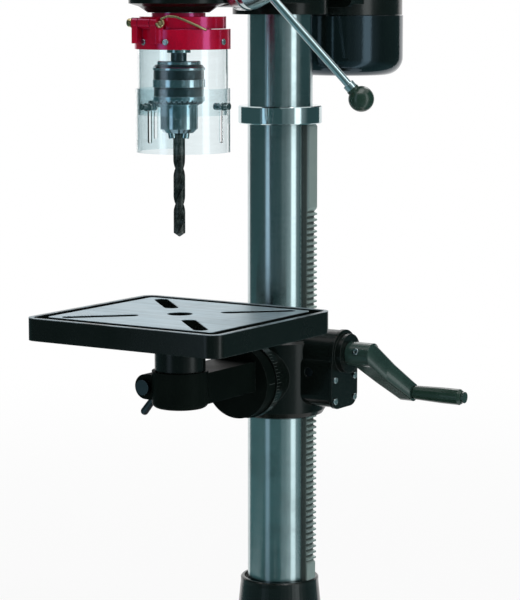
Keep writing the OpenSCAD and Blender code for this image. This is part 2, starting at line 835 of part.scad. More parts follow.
module table_arm() {
    neck_w = 48;
    color(iron)
        difference() {
            union() {
                translate([0, 0, tilt_z]) rod_y(tilt_flange_r - 2, -arm_face - arm_flange_t, -arm_face);
                box([-neck_w / 2, -throat, boss_z0 + 3], [neck_w / 2, -arm_face - 2, boss_z1 - 3]);
                translate([0, -throat, boss_z0]) cup(boss_r, boss_edge, boss_z1 - boss_z0);
                translate([-clamp_x, -throat, clamp_z]) rod_y(ear_r, -clamp_l, clamp_l);
                box([-clamp_x, -throat - clamp_l, clamp_z - ear_r],
                    [0, -throat + clamp_l, clamp_z + ear_r]);
            }
            box([-neck_w / 2 + 8, -throat + boss_r - 2, 0],
                [neck_w / 2 - 8, -arm_face - arm_flange_t, tilt_z + 18]);
            translate([0, -throat, 0]) rod_z(stem_d / 2 + run, boss_z0 - 1, boss_z1 + 1);
            box([-far, -throat - slit_w / 2, boss_z0 - 1], [0, -throat + slit_w / 2, boss_z1 + 1]);
            translate([-clamp_x, 0, clamp_z]) rod_y(lock_bolt_r + run, -far, -throat + far);
            translate([0, 0, tilt_z]) rod_y(tilt_bolt_r + run, -arm_face - arm_flange_t - 1, 0);
        }
}

module table_lock_lever() {
    color(dark_steel)
        translate([-clamp_x, -throat, clamp_z])
            lock_lever(-clamp_l - gap, clamp_l + gap, 43, 231);
}

module tilt_bolt() {
    head_y = -arm_face - arm_flange_t - gap;
    color(steel)
        translate([0, 0, tilt_z]) {
            rod_y(tilt_bolt_r, head_y - 5, -column_r - 8);
            rotate([90, 0, 0]) translate([0, 0, -head_y]) cylinder(r = 13, h = 10, $fn = 6);
        }
}

module table() {
    low = -table_half;
    high = table_half;
    rim = [table_rim, table_rim];
    pad = rim + [table_trough, table_trough];
    wall = [8, 8];
    plate_z = table_z - table_plate_t;
    color(iron)
        translate([0, -throat, 0])
            difference() {
                union() {
                    difference() {
                        translate([0, 0, skirt_z])
                            linear_extrude(table_skirt) round_rect(low, high, table_corner_r);
                        translate([0, 0, skirt_z - 1])
                            linear_extrude(plate_z - skirt_z + 1)
                                round_rect(low + wall, high - wall, table_corner_r - wall[0]);
                        translate([0, 0, table_z - table_trough_t])
                            linear_extrude(table_trough_t + 1)
                                difference() {
                                    round_rect(low + rim, high - rim, table_corner_r - table_rim);
                                    round_rect(low + pad, high - pad, 5);
                                }
                    }
                    for (a = [0, 90])
                        rotate([0, 0, a])
                            box([-table_l / 2 + 4, -4, skirt_z + 4], [table_l / 2 - 4, 4, plate_z + 2]);
                    rod_z(boss_r - 3, boss_z1 + gap, plate_z + 2);
                    rod_z(stem_d / 2, boss_z0 + 2, plate_z + 2);
                }
                rod_z(table_hole_d / 2, boss_z0 - 1, table_z + 1);
                around(diagonals)
                    translate([0, 0, skirt_z - 1])
                        linear_extrude(table_skirt + 2) slot_2d(table_slot_w, slot_r0, slot_r1);
            }
}

module head() {
    color(iron)
        difference() {
            union() {
                translate([0, -throat, nose_z0])
                    rotate_extrude()
                        polygon([
                            [0, 0], [quill_r + 6, 0], [nose_r - 10, 6], [nose_r, 9],
                            [nose_r, head_z1 - nose_z0], [0, head_z1 - nose_z0]
                        ]);
                rod_z(boss_d / 2, head_z, head_z1);
                box([-head_w / 2, -throat, head_z + 12], [head_w / 2, 0, head_z1]);
                translate([0, feed_y, feed_z]) rod_x(feed_boss_r, -feed_face, feed_face);
            }
            translate([0, -throat, 0]) {
                rod_z(quill_r + run, head_z - 1, quill_z1 + 1);
                rod_z(drive_sleeve_r + run, quill_z1, head_z1 + 1);
            }
            rod_z(column_r + seat, head_z - 1, column_top + 2);
            box([-head_w / 2 + 9, -throat + nose_r + 20, head_z + 22],
                [head_w / 2 - 9, -idler_y - post_r - 8, head_z1 + 1]);
            translate([0, feed_y, feed_z]) {
                rod_x(feed_bore_r, -far, feed_face - 34);
                rod_x(feed_shaft_r + run, 0, far);
            }
            for (x = [-1, 1])
                translate([x * slide_rod_x, 0, slide_rod_z])
                    rod_y(slide_rod_r + run, slide_rod_y0 - motor_travel - 2, far);
            for (z = head_screw_zs)
                translate([0, 0, z]) rod_x(4 + seat, -far, 0);
            for (x = [-1, 1])
                translate([0, tension_y, slide_rod_z])
                    rotate([0, 0, x * 90 - 90]) rod_x(tension_r + seat, slide_rod_x, far);
            translate([0, -idler_y, 0]) rod_z(post_r + seat, head_z1 - 8, head_z1 + 1);
        }
}

module quill() {
    k0 = -3;
    k1 = ceil(quill_travel / (PI * feed_module)) + 1;
    teeth = rack_outline(feed_module, quill_add, quill_ded, k0, k1);
    last = len(teeth) - 1;
    color(steel)
        translate([0, -throat, 0])
            difference() {
                rod_z(quill_r, quill_z0, quill_z1);
                rod_z(bearing_r - 6, quill_z0 - 1, quill_z1 + 1);
                rod_z(bearing_r + seat, quill_z0 - 1, quill_z0 + bearing_h);
                rod_z(bearing_r + seat, quill_z1 - bearing_h, quill_z1 + 1);
                translate([0, quill_rack_y, feed_z])
                    rotate([90, 0, 90])
                        linear_extrude(2 * quill_d, center = true)
                            polygon(concat(teeth, [[quill_r, teeth[last][1]], [quill_r, teeth[0][1]]]));
            }
}

module quill_bearings() {
    color(dark_steel)
        translate([0, -throat, 0]) {
            bearing(spindle_r + run, bearing_r, quill_z0, quill_z0 + bearing_h);
            bearing(spindle_r + run, bearing_r, quill_z1 - bearing_h, quill_z1);
        }
}

module spindle() {
    color(steel)
        translate([0, -throat, 0])
            difference() {
                union() {
                    rod_z(spindle_r, spindle_z0, quill_z1);
                    rod_z(spline_r, quill_z1 - 1, spindle_z1);
                }
                rod_z(arbor_r + seat, spindle_z0 - 1, spindle_z0 + arbor_seat_l + 2);
            }
}

module chuck_arbor() {
    color(dark_steel)
        translate([0, -throat, 0]) rod_z(arbor_r, chuck_z1 - arbor_chuck_l, spindle_z0 + arbor_seat_l);
}

// Places children on a jaw's slanting axis, with the jaw's tip at the origin
module jaw_place(a) {
    translate([0, -throat, jaw_tip_z])
        rotate([0, 0, a])
            translate([bit_r + 1.2, 0, 0])
                rotate([0, jaw_lean, 0])
                    children();
}

module chuck_body() {
    tip_r = chuck_nose_d / 2;
    color(dark_steel)
        difference() {
            translate([0, -throat, 0])
                rotate_extrude()
                    polygon([
                        [0, chuck_z0], [tip_r - 4, chuck_z0], [tip_r, chuck_z0 + 4],
                        [tip_r, sleeve_ring_z0 - 1], [chuck_core_r, sleeve_ring_z0 - 1],
                        [chuck_core_r, sleeve_ring_z1 + gap],
                        [chuck_core_r + 1.5, sleeve_ring_z1 + gap], [chuck_core_r + 1.5, chuck_z1 - 1],
                        [chuck_core_r + 0.5, chuck_z1], [0, chuck_z1]
                    ]);
            translate([0, -throat, 0]) {
                rod_z(bit_r + 0.6, chuck_z0 - 1, chuck_z0 + 48);
                rod_z(arbor_r + seat, chuck_z1 - arbor_chuck_l - 1, chuck_z1 + 1);
                around([60, 180, 300])
                    translate([0, 0, chuck_z0 + 18]) rod_x(3.5, chuck_core_r - 6, far);
            }
            for (a = [0, 120, 240])
                jaw_place(a) rod_z(jaw_r + run, -10, jaw_l + jaw_travel + 2);
        }
}

module chuck_sleeve() {
    r = chuck_sleeve_d / 2;
    h = sleeve_ring_z1 - sleeve_ring_z0;
    color(dark_steel)
        translate([0, -throat, sleeve_ring_z0])
            difference() {
                rotate_extrude()
                    polygon([
                        [0, 0], [r - 3.5, 0], [r - 0.5, 3], [r - 0.5, 7.5], [r - 1.5, 8], [r - 1.5, 16.5],
                        [r, 17], [r, 24.5], [r - 1.2, 25], [r - 1.2, 33.5], [r, 34], [r, h - 3],
                        [r - 3, h], [0, h]
                    ]);
                translate([0, 0, -1]) cylinder(r = chuck_core_r + run, h = h + 2);
                around([for (k = [0:29]) k * 12])
                    translate([r - 5, 0, -1.5]) rotate([0, 45, 0]) cylinder(r = 1.2, h = 9);
            }
}

// One jaw, ground flat where it bears on the drill
module chuck_jaw(a) {
    color(dark_steel)
        difference() {
            jaw_place(a) rod_z(jaw_r, 0, jaw_l);
            translate([0, -throat, 0])
                rotate([0, 0, a])
                    box([-far, -far, jaw_tip_z - 20], [bit_r + seat, far, chuck_z1]);
        }
}

module chuck_jaw_a() { chuck_jaw(0); }
module chuck_jaw_b() { chuck_jaw(120); }
module chuck_jaw_c() { chuck_jaw(240); }

// Radius of the fluted drill at the angle a from the middle of a flute
function flute_r(a) = (bit_r - run) * (1 - 0.6 * pow(max(0, cos(2 * a)), 0.7));

module drill_bit() {
    flute_l = bit_out - 26;
    point_l = bit_r / tan(59);
    point_flat = 0.08;
    phase = 50;
    lead = 6 * bit_d;
    n = 32;
    rings = 44;
    levels = concat([0], [for (k = [0:rings]) point_l + (flute_l - point_l) * k / rings]);
    top = len(levels) - 1;
    points = [for (z = levels)
        for (k = [0:n - 1])
            let (
                a = k * 360 / n,
                r = flute_r(a) * (z > 0 ? 1 : point_flat),
                t = a + phase + 360 * z / lead
            )
            [r * cos(t), r * sin(t), bit_z0 + z]];
    sides = [for (i = [0:top - 1])
        for (k = [0:n - 1])
            for (t = [[[0, k], [1, k], [1, k + 1]], [[0, k], [1, k + 1], [0, k + 1]]])
                [for (q = t) (i + q[0]) * n + q[1] % n]];
    ends = [[for (k = [0:n - 1]) k], [for (k = [n - 1:-1:0]) top * n + k]];
    color(dark_steel)
        translate([0, -throat, 0]) {
            rod_z(bit_r, bit_z0 + flute_l - 1, chuck_z0 + 46);
            polyhedron(points, concat(sides, ends));
        }
}

// Frame of the chuck guard: origin on the spindle's axis, turned with the guard
module guard_frame() {
    translate([0, -throat, 0]) rotate([0, 0, guard_turn]) children();
}

// Wall round the guard's axis, open at the back
module guard_wall(r0, r1, z0, z1, wrap) {
    translate([0, guard_back, z0])
        rotate([0, 0, -90 - wrap / 2])
            rotate_extrude(angle = wrap)
                translate([r0, 0]) square([r1 - r0, z1 - z0]);
}

module guard_collar() {
    color(crimson)
        guard_frame()
            difference() {
                union() {
                    translate([0, guard_back, 0]) rod_z(collar_ring_r, guard_ring_z0, guard_z1);
                    rod_z(quill_r + 8, quill_z0, guard_ring_z0 + 1);
                    rod_z(quill_r + 2, guard_z1 - 1, nose_z0 - gap);
                    box([-8, guard_hinge_y, guard_ring_z0], [8, -quill_r - 4, guard_z1]);
                    translate([0, guard_hinge_y, guard_hinge_z]) rod_x(5.2, -8, 8);
                }
                rod_z(quill_r + seat, quill_z0 - 1, nose_z0);
                box([-1.5, quill_r - 4, quill_z0 - 1], [1.5, far, nose_z0]);
                translate([0, guard_hinge_y, guard_hinge_z]) rod_x(hinge_r + seat, -far, far);
            }
}

module guard_hinge_pin() {
    color([0.75, 0.68, 0.45])
        guard_frame()
            translate([0, guard_hinge_y, guard_hinge_z]) {
                rod_x(hinge_r, -21, 21);
                rod_x(hinge_r + 1.8, -24, -21);
            }
}

module guard_carrier() {
    color(crimson)
        guard_frame()
            difference() {
                union() {
                    guard_wall(upper_r1 + seat, guard_r + 0.4, carrier_z0, carrier_z1, guard_wrap);
                    for (x = [-1, 1]) {
                        translate([x * 13, guard_hinge_y, guard_hinge_z]) rod_x(5, -4, 4);
                        box([x * 13 - 4, guard_hinge_y - 4, carrier_z0 + 6],
                            [x * 13 + 4, guard_back - guard_r + 4, guard_hinge_z]);
                    }
                }
                translate([0, guard_back, 0]) rod_z(upper_r1 + seat, carrier_z0 - 1, carrier_z1 + 1);
                translate([0, guard_hinge_y, guard_hinge_z]) rod_x(hinge_r + run, -far, far);
            }
}

// Places children on the guard's wall at a wing screw, with X pointing outwards
module wing_place(a) {
    guard_frame()
        translate([0, guard_back, wing_z])
            rotate([0, 0, a - 90])
                children();
}

module guard_shield_upper() {
    color(clear)
        difference() {
            guard_frame() guard_wall(upper_r1 - shield_t, upper_r1, upper_z0, upper_z1, guard_wrap);
            for (a = wing_angles)
                wing_place(a) rod_x(wing_r + seat, upper_r1 - 8, upper_r1 + 8);
        }
}

module guard_shield_lower() {
    color(clear)
        difference() {
            guard_frame() guard_wall(lower_r0, lower_r0 + shield_t, lower_z0, lower_z1, guard_wrap);
            for (a = wing_angles)
                wing_place(a)
                    along_x(lower_r0 - 4, lower_r0 + 8)
                        rotate(-90) slot_2d(2 * wing_r + 2 * gap, 0, shield_travel);
        }
}

module guard_wing_screws() {
    outer = lower_r0 + shield_t + gap;
    color(steel)
        for (a = wing_angles)
            wing_place(a) {
                rod_x(wing_r, upper_r1 - shield_t - 3, outer + 7);
                rod_x(3.6, upper_r1 - shield_t - 4.5, upper_r1 - shield_t - 0.6);
                rod_x(4, outer, outer + 4);
                for (y = [-1, 1])
                    translate([outer + 4, y * 5.5, 0])
                        rotate([0, 90, 0]) cylinder(r = 3.4, h = 1.8, center = true);
            }
}

module spring_cap() {
    x0 = -feed_face - gap;
    color(iron)
        translate([0, feed_y, feed_z])
            rotate([0, 90, 0])
                rotate_extrude()
                    polygon([
                        [feed_shaft_r + run, x0 + 30], [feed_bore_r - 0.1, x0 + 30],
                        [feed_bore_r - 0.1, x0], [cap_r, x0], [cap_r, x0 - cap_l + 2],
                        [cap_r - 2, x0 - cap_l], [feed_stud_r + run, x0 - cap_l],
                        [feed_stud_r + run, x0 - cap_l + 3], [cap_r - 2.5, x0 - cap_l + 3],
                        [cap_r - 2.5, x0 - 4], [feed_shaft_r + run, x0 - 4]
                    ]);
}

// Flat spiral spring round the feed shaft, as one strip of steel
module return_spring() {
    turns = 4;
    strip = 0.8;
    r0 = feed_shaft_r + 1.2;
    r1 = cap_r - 2.5 - gap - strip;
    n = turns * 24;
    inner = [for (i = [0:n]) (r0 + (r1 - r0) * i / n) * [cos(i * 15), sin(i * 15)]];
    outer = [for (i = [n:-1:0]) (r0 + (r1 - r0) * i / n + strip) * [cos(i * 15), sin(i * 15)]];
    color(dark_steel)
        translate([-feed_face - gap - cap_l + 3 + gap, feed_y, feed_z])
            rotate([0, 90, 0])
                linear_extrude(cap_l - 7 - 2 * gap) polygon(concat(inner, outer));
}

module feed_shaft() {
    stud_end = -feed_face - gap - cap_l;
    color(steel)
        translate([0, feed_y, feed_z]) {
            rotate([-90, 0, 0])
                rotate([0, 90, 0])
                    linear_extrude(24, center = true)
                        polygon(gear_outline(feed_module, feed_teeth, feed_add, feed_ded));
            rod_x(feed_shaft_r, stud_end + 3 + gap, hub_x1 - 4);
            rod_x(feed_stud_r, stud_end - 12, 0);
            translate([stud_end - gap - 7, 0, 0]) rotate([0, 90, 0]) cylinder(r = 9, h = 7, $fn = 6);
        }
}

// Places children on a feed rod, with Z along the rod and the feed axis at the origin
module feed_rod_place() {
    for (a = rod_angles)
        translate([feed_rod_x, feed_y, feed_z])
            rotate([a, 0, 0])
                rotate([-90, 0, 0])
                    rotate([0, feed_rod_flare, 0])
                        children();
}

module depth_ring() {
    color(steel)
        translate([0, feed_y, feed_z])
            difference() {
                rod_x(hub_r0 + 1, ring_x0, ring_x1);
                rod_x(feed_shaft_r + seat, ring_x0 - 1, ring_x1 + 1);
            }
}

module feed_hub() {
    color(steel)
        difference() {
            translate([0, feed_y, feed_z])
                rotate([0, 90, 0])
                    rotate_extrude()
                        polygon([
                            [0, hub_x0], [hub_r0, hub_x0], [hub_r0, hub_x0 + 6], [hub_r1, hub_x1 - 3],
                            [hub_r1 - 3, hub_x1], [0, hub_x1]
                        ]);
            translate([0, feed_y, feed_z]) rod_x(feed_shaft_r + seat, hub_x0 - 1, hub_x1 - 3);
            feed_rod_place() rod_z(feed_rod_d / 2 + seat, 14, feed_rod_l);
        }
}

module feed_rods() {
    color(steel)
        feed_rod_place() {
            rod_z(feed_rod_d / 2, 15, feed_rod_l - 2);
            rod_z(feed_rod_d / 2 + 2, feed_rod_l - feed_ball_d / 2 - 7, feed_rod_l - feed_ball_d / 2 - 1);
        }
}

module feed_knobs() {
    color(black_plastic)
        feed_rod_place()
            difference() {
                union() {
                    translate([0, 0, feed_rod_l]) sphere(d = feed_ball_d);
                    rod_z(feed_rod_d / 2 + 2.5, feed_rod_l - feed_ball_d / 2 - 1 + seat, feed_rod_l);
                }
                rod_z(feed_rod_d / 2 + seat, 0, feed_rod_l - 2 + seat);
            }
}

module idler_post() {
    color(steel)
        translate([0, -idler_y, 0]) {
            rod_z(post_r, head_z1 - 8, pulley_z0 + 4 * pulley_step + 4);
            rod_z(post_r + 5, tray_z1, pulley_z0 - gap);
        }
}

module idler_pulley() {
    color(steel)
        translate([0, -idler_y, 0]) step_pulley(idler_radii, post_r + run);
}

module spindle_pulley() {
    color(steel)
        translate([0, -throat, 0])
            difference() {
                union() {
                    step_pulley(spindle_radii, drive_sleeve_r - 1);
                    rod_z(drive_sleeve_r, quill_z1 + 2, pulley_z0 + 4 * pulley_step + 4);
                }
                rod_z(spline_r + run, quill_z1, lid_z1);
            }
}

module motor_pulley() {
    color(steel)
        translate([0, motor_y, 0]) step_pulley(motor_radii, motor_shaft_r + seat);
}

module drive_belts() {
    color([0.06, 0.06, 0.06]) {
        belt(0, motor_radii[0], motor_y, idler_radii[0], -idler_y);
        belt(3, idler_radii[3], -idler_y, spindle_radii[3], -throat);
    }
}

module motor_plate() {
    color(iron) {
        difference() {
            carrier_plate();
            for (x = [-1, 1])
                for (z = stud_zs)
                    translate([x * stud_x, 0, z]) rod_y(4 + seat, 0, far);
        }
        for (x = [-1, 1])
            translate([x * slide_rod_x, 0, slide_rod_z]) rod_y(slide_rod_r, slide_rod_y0, plate_y0 + 1);
    }
}

// Flat plate that carries the motor
module carrier_plate() {
    translate([0, plate_y1, 0])
        rotate([90, 0, 0])
            linear_extrude(plate_y1 - plate_y0)
                round_rect([-stud_x - 12, shell_z0 + 8], [stud_x + 12, slide_rod_z + 14], 10);
}

module motor_body() {
    vents = 9;
    color(iron)
        translate([0, motor_y, 0])
            difference() {
                union() {
                    rod_z(motor_r, shell_z0, shell_z1);
                    box([-stud_x - 8, -motor_r - motor_pad, shell_z0 + 12],
                        [stud_x + 8, -motor_r + 32, shell_z1 - 30]);
                    rod_z(26, shell_z1 - 1, shell_z1 + 5);
                    for (x = [-1, 1])
                        for (z = stud_zs)
                            translate([x * stud_x, plate_y0 - motor_y, z]) {
                                rod_y(4, -9, 30);
                                translate([0, -7, 0]) rotate([-90, 0, 0]) cylinder(r = 7, h = 7, $fn = 6);
                            }
                }
                rod_z(motor_r - 5, shell_z0 + 8, shell_z1 - 6);
                rod_z(motor_shaft_r + run, shell_z0 - 1, shell_z1 + 6);
                around([for (k = [0:vents - 1]) k * 360 / vents + 10])
                    translate([motor_r - 22, 0, shell_z1 - 8]) linear_extrude(9) slot_2d(6, 0, 12);
            }
}

module motor_fan_cover() {
    r = motor_r + 1;
    wall = 3;
    color(iron)
        translate([0, motor_y, motor_z0])
            difference() {
                cup(r, fan_cover_edge, fan_cover_h);
                translate([0, 0, wall]) cup(r - wall, fan_cover_edge - wall, fan_cover_h);
                translate([0, 0, -1]) cylinder(d = fan_intake_d, h = wall + 2);
                around([for (k = [0:11]) k * 30])
                    translate([0, 0, -1])
                        linear_extrude(wall + 2) slot_2d(4, fan_intake_d / 2 + 6, r - fan_cover_edge - 8);
            }
}

module motor_stator() {
    color([0.55, 0.3, 0.15])
        translate([0, motor_y, 0])
            difference() {
                rod_z(motor_r - 5 - seat, shell_z0 + 26, shell_z1 - 30);
                rod_z(33, shell_z0 + 25, shell_z1 - 29);
            }
}

module motor_rotor() {
    fan_z0 = motor_z0 + fan_cover_edge + 6;
    color(steel)
        translate([0, motor_y, 0]) {
            rod_z(motor_shaft_r, fan_z0, pulley_z0 + 4 * pulley_step + 3);
            rod_z(32.5, shell_z0 + 28, shell_z1 - 32);
            rod_z(18, fan_z0, fan_z0 + 20);
            rod_z(motor_r - 10, fan_z0 + 17, fan_z0 + 20);
            around([for (k = [0:7]) k * 45])
                box([14, -1.2, fan_z0], [motor_r - 10, 1.2, fan_z0 + 18]);
        }
}

// Outline of the belt cover, grown by the given amount
module cover_2d(grow) {
    long_oval(cover_r + grow, -throat, motor_y);
}

// Places the hinge knuckles of the belt cover: the tray has the even ones and the lid the odd ones
module knuckles(first) {
    for (k = [first:2:3])
        translate([lid_hinge_x, -throat / 2 - 20 + k * knuckle_l, lid_hinge_z]) children();
}

module belt_cover_tray() {
    color(iron)
        difference() {
            union() {
                translate([0, 0, head_z1]) linear_extrude(tray_t) cover_2d(0);
                knuckles(0) {
                    rod_y(knuckle_r, gap, knuckle_l - gap);
                    box([-1, gap, head_z1 - lid_hinge_z], [12, knuckle_l - gap, tray_z1 - lid_hinge_z]);
                    box([-knuckle_r, gap, head_z1 - lid_hinge_z], [0, knuckle_l - gap, 0]);
                }
            }
            translate([0, -throat, 0]) rod_z(drive_sleeve_r + 6, head_z1 - 1, tray_z1 + 1);
            translate([0, -idler_y, 0]) rod_z(post_r + seat, head_z1 - 1, tray_z1 + 1);
            translate([0, motor_y, head_z1 - 1])
                linear_extrude(tray_t + 2) rotate(-90) slot_2d(2 * motor_shaft_r + 10, 0, motor_travel);
            translate([lid_hinge_x, 0, lid_hinge_z]) rod_y(lid_pin_r + seat, -far, far);
        }
}

module belt_cover_lid() {
    color(iron)
        difference() {
            union() {
                difference() {
                    translate([0, 0, lid_z0]) linear_extrude(lid_h) cover_2d(0);
                    translate([0, 0, lid_z0 - 1])
                        linear_extrude(lid_h - cover_wall + 1) cover_2d(-cover_wall);
                }
                knuckles(1) {
                    rod_y(knuckle_r, gap, knuckle_l - gap);
                    box([0, gap, -knuckle_r], [6, knuckle_l - gap, knuckle_r]);
                }
                translate([cover_r - 1, -throat, lid_z0 + 20]) {
                    rod_x(5, 0, 10);
                    translate([16, 0, 0]) sphere(11);
                }
            }
            translate([lid_hinge_x, 0, lid_hinge_z]) rod_y(lid_pin_r + run, -far, far);
        }
}

module lid_hinge_pin() {
    color(steel)
        translate([lid_hinge_x, -throat / 2 - 20, lid_hinge_z]) {
            rod_y(lid_pin_r, -2, 4 * knuckle_l + 2);
            rod_y(lid_pin_r + 1.5, -4, -2);
        }
}

module switch_box() {
    color(black_plastic)
        difference() {
            translate([0, box_y1, 0])
                rotate([-90, 0, 0])
                    linear_extrude(40) round_rect([-30, -head_z1 + 4], [30, -head_z1 + 92], 6);
            translate([0, -throat, 0]) rod_z(nose_r + seat, head_z, head_z1 + 1);
            translate([0, 0, start_z]) rod_y(start_r + gap, box_y1 - 1, box_y1 + 12);
            translate([0, 0, stop_z]) rod_y(stop_r + gap, box_y1 - 1, box_y1 + 12);
        }
}

// Push button of radius r at height z, standing proud of the switch box
module button(r, z, proud) {
    translate([0, 0, z]) {
        rod_y(r, box_y1 - proud + 1, box_y1 + 7);
        rod_y(r - 1, box_y1 - proud, box_y1 + 1);
    }
}

module start_button() {
    color([0.1, 0.5, 0.2]) button(start_r, start_z, button_travel + 1);
}

module stop_button() {
    color([0.8, 0.1, 0.1]) button(stop_r, stop_z, button_travel + 5);
}

module cord_gland() {
    color(black_plastic)
        translate([-head_w / 2, -column_r - 45, head_z + 60])
            difference() {
                union() {
                    rod_x(11, -6, -seat);
                    rod_x(8, -18, -5);
                }
                rod_x(4, -19, -2);
            }
}

module tension_knobs() {
    color(black_plastic)
        for (x = [-1, 1])
            translate([0, tension_y, slide_rod_z])
                rotate([0, 0, x * 90 - 90]) {
                    rod_x(tension_r, slide_rod_x + slide_rod_r + gap, boss_d / 2 + 20);
                    rod_x(12, boss_d / 2 + 6, boss_d / 2 + 22);
                }
}

base();
column_holder();
holder_bolts();
column();
rack_collar();
set_screws();
head();
spring_cap();
return_spring();
idler_post();
belt_cover_tray();
lid_hinge_pin();
switch_box();
cord_gland();
tension_knobs();
drive_belts();
motor_plate();
motor_body();
motor_fan_cover();
motor_stator();
motor_rotor();
motor_pulley();
idler_pulley();
spindle_pulley();
quill();
quill_bearings();
guard_collar();
guard_hinge_pin();
spindle();
chuck_arbor();
chuck_body();
drill_bit();
chuck_sleeve();
chuck_jaw_a();
chuck_jaw_b();
chuck_jaw_c();
feed_shaft();
feed_hub();
feed_rods();
feed_knobs();
depth_ring();
belt_cover_lid();
guard_carrier();
guard_shield_upper();
guard_wing_screws();
guard_shield_lower();
start_button();
stop_button();
rack();
table_bracket();
gear_cover();
lift_pinion();
worm_shaft();
crank_arm();
crank_grip();
bracket_lock_lever();
table_arm();
tilt_bolt();
table();
table_lock_lever();
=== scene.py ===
"""Finishes and small fittings of a benchtop drill press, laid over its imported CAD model."""

import math

import bmesh
import bpy
from bpy.props import FloatProperty, FloatVectorProperty, IntProperty, PointerProperty
from bpy.types import Operator, Panel, PropertyGroup
from mathutils import Matrix, Vector


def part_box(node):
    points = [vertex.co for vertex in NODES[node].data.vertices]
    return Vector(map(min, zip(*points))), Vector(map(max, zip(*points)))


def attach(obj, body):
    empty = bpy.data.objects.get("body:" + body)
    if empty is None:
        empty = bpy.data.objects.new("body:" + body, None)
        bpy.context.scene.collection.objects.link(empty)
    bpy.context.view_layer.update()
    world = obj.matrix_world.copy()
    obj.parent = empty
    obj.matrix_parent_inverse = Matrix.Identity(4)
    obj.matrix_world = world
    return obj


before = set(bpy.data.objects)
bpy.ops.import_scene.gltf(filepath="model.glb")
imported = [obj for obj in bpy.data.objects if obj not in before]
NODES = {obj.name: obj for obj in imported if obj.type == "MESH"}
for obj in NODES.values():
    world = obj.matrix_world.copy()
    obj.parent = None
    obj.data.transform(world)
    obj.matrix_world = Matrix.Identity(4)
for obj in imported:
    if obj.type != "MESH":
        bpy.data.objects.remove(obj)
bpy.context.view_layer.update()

bl_info = {
    "name": "Benchtop drill press",
    "version": (1, 0, 0),
    "blender": (4, 5, 0),
    "location": "View3D > Sidebar > Drill press",
    "description": "Finishes and small fittings of a benchtop drill press",
    "category": "Object",
}


def middle(node):
    """Middle of a CAD node's box."""
    low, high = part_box(node)
    return (low + high) / 2


def half_width(node):
    """Half of a CAD node's width: the radius of a piece that is round about a vertical axis."""
    low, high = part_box(node)
    return (high.x - low.x) / 2


SPINDLE = Vector((middle("spindle").x, middle("spindle").y, 0))
FEED = middle("depth_ring")


def colour(name, description, default):
    """Colour property."""
    return FloatVectorProperty(
        name=name, description=description, subtype="COLOR", size=3, min=0, max=1, default=default,
    )


def length(name, description, default):
    """Length property in metres."""
    return FloatProperty(
        name=name, description=description, subtype="DISTANCE", unit="LENGTH", min=0, default=default,
    )


def angle(name, description, degrees):
    """Angle property, with its default in degrees."""
    return FloatProperty(name=name, description=description, subtype="ANGLE", default=math.radians(degrees))


def glow(name, description, default):
    """Brightness property."""
    return FloatProperty(name=name, description=description, default=default, min=0, max=4)


class PressFinishes(PropertyGroup):
    """Colours of the press's finishes."""

    enamel: colour("Enamel", "Gloss enamel of the castings", (0.0030, 0.0052, 0.0044))
    # Lighter enamel for the edges: partly rubbed-thin wear, partly a painted edge highlight
    enamel_worn: colour("Worn enamel and edge highlight", "Enamel that has been rubbed thin", (0.045, 0.056, 0.053))
    steel: colour("Steel", "Ground and polished steel", (0.47, 0.56, 0.575))
    steel_stain: colour("Steel stain", "Oil film and light stain on the steel", (0.30, 0.36, 0.365))
    rack: colour("Rack steel", "Milled steel of the rack", (0.42, 0.52, 0.49))
    machined: colour("Machined iron", "Milled top of the table", (0.35, 0.45, 0.50))
    crank: colour("Crank enamel", "Enamel of the table crank", (0.014, 0.033, 0.027))
    chuck: colour("Chuck steel", "Hardened steel of the chuck", (0.62, 0.71, 0.75))
    # Also used for the painted shade in the chuck sleeve's grooves
    knurl: colour("Knurl", "Blackened knurled bands of the chuck", (0.030, 0.042, 0.050))
    drill: colour("Drill steel", "Black oxide of the drill", (0.032, 0.042, 0.039))
    crimson: colour("Crimson", "Gloss paint of the guard", (0.285, 0.0005, 0.011))
    shield: colour("Shield", "Clear plastic of the guard", (0.88, 0.965, 0.985))
    zinc: colour("Zinc", "Yellow zinc plating", (0.62, 0.52, 0.28))
    plastic: colour("Black plastic", "Moulded grips, balls and switch box", (0.012, 0.031, 0.022))


class PressSizes(PropertyGroup):
    """Sizes of the small fittings."""

    wire_r: length("Wire radius", "Radius of the guard's spring wire", 0.0013)
    screw_r: length("Screw radius", "Head radius of the guard's pan-head screws", 0.0032)
    scale_step: IntProperty(
        name="Scale step", description="Millimetres between two marks of the depth scale", default=2,
        min=1, max=5,
    )
    mark_h: length("Mark height", "How far a scale mark stands proud", 0.00012)
    flange_r: length("Flange radius", "Radius of the bracket's tilt flange", 0.041)
    arm_flange_r: length("Arm flange radius", "Radius of the arm's tilt flange", 0.039)
    intake_r: length("Intake radius", "Radius of the air intake in the fan cover", 0.020)
    grille_wire_r: length("Grille wire radius", "Radius of the intake grille's wire", 0.0009)
    cover_boss: length("Cover boss", "How far the gear cover's boss stands proud of its plate", 0.007)


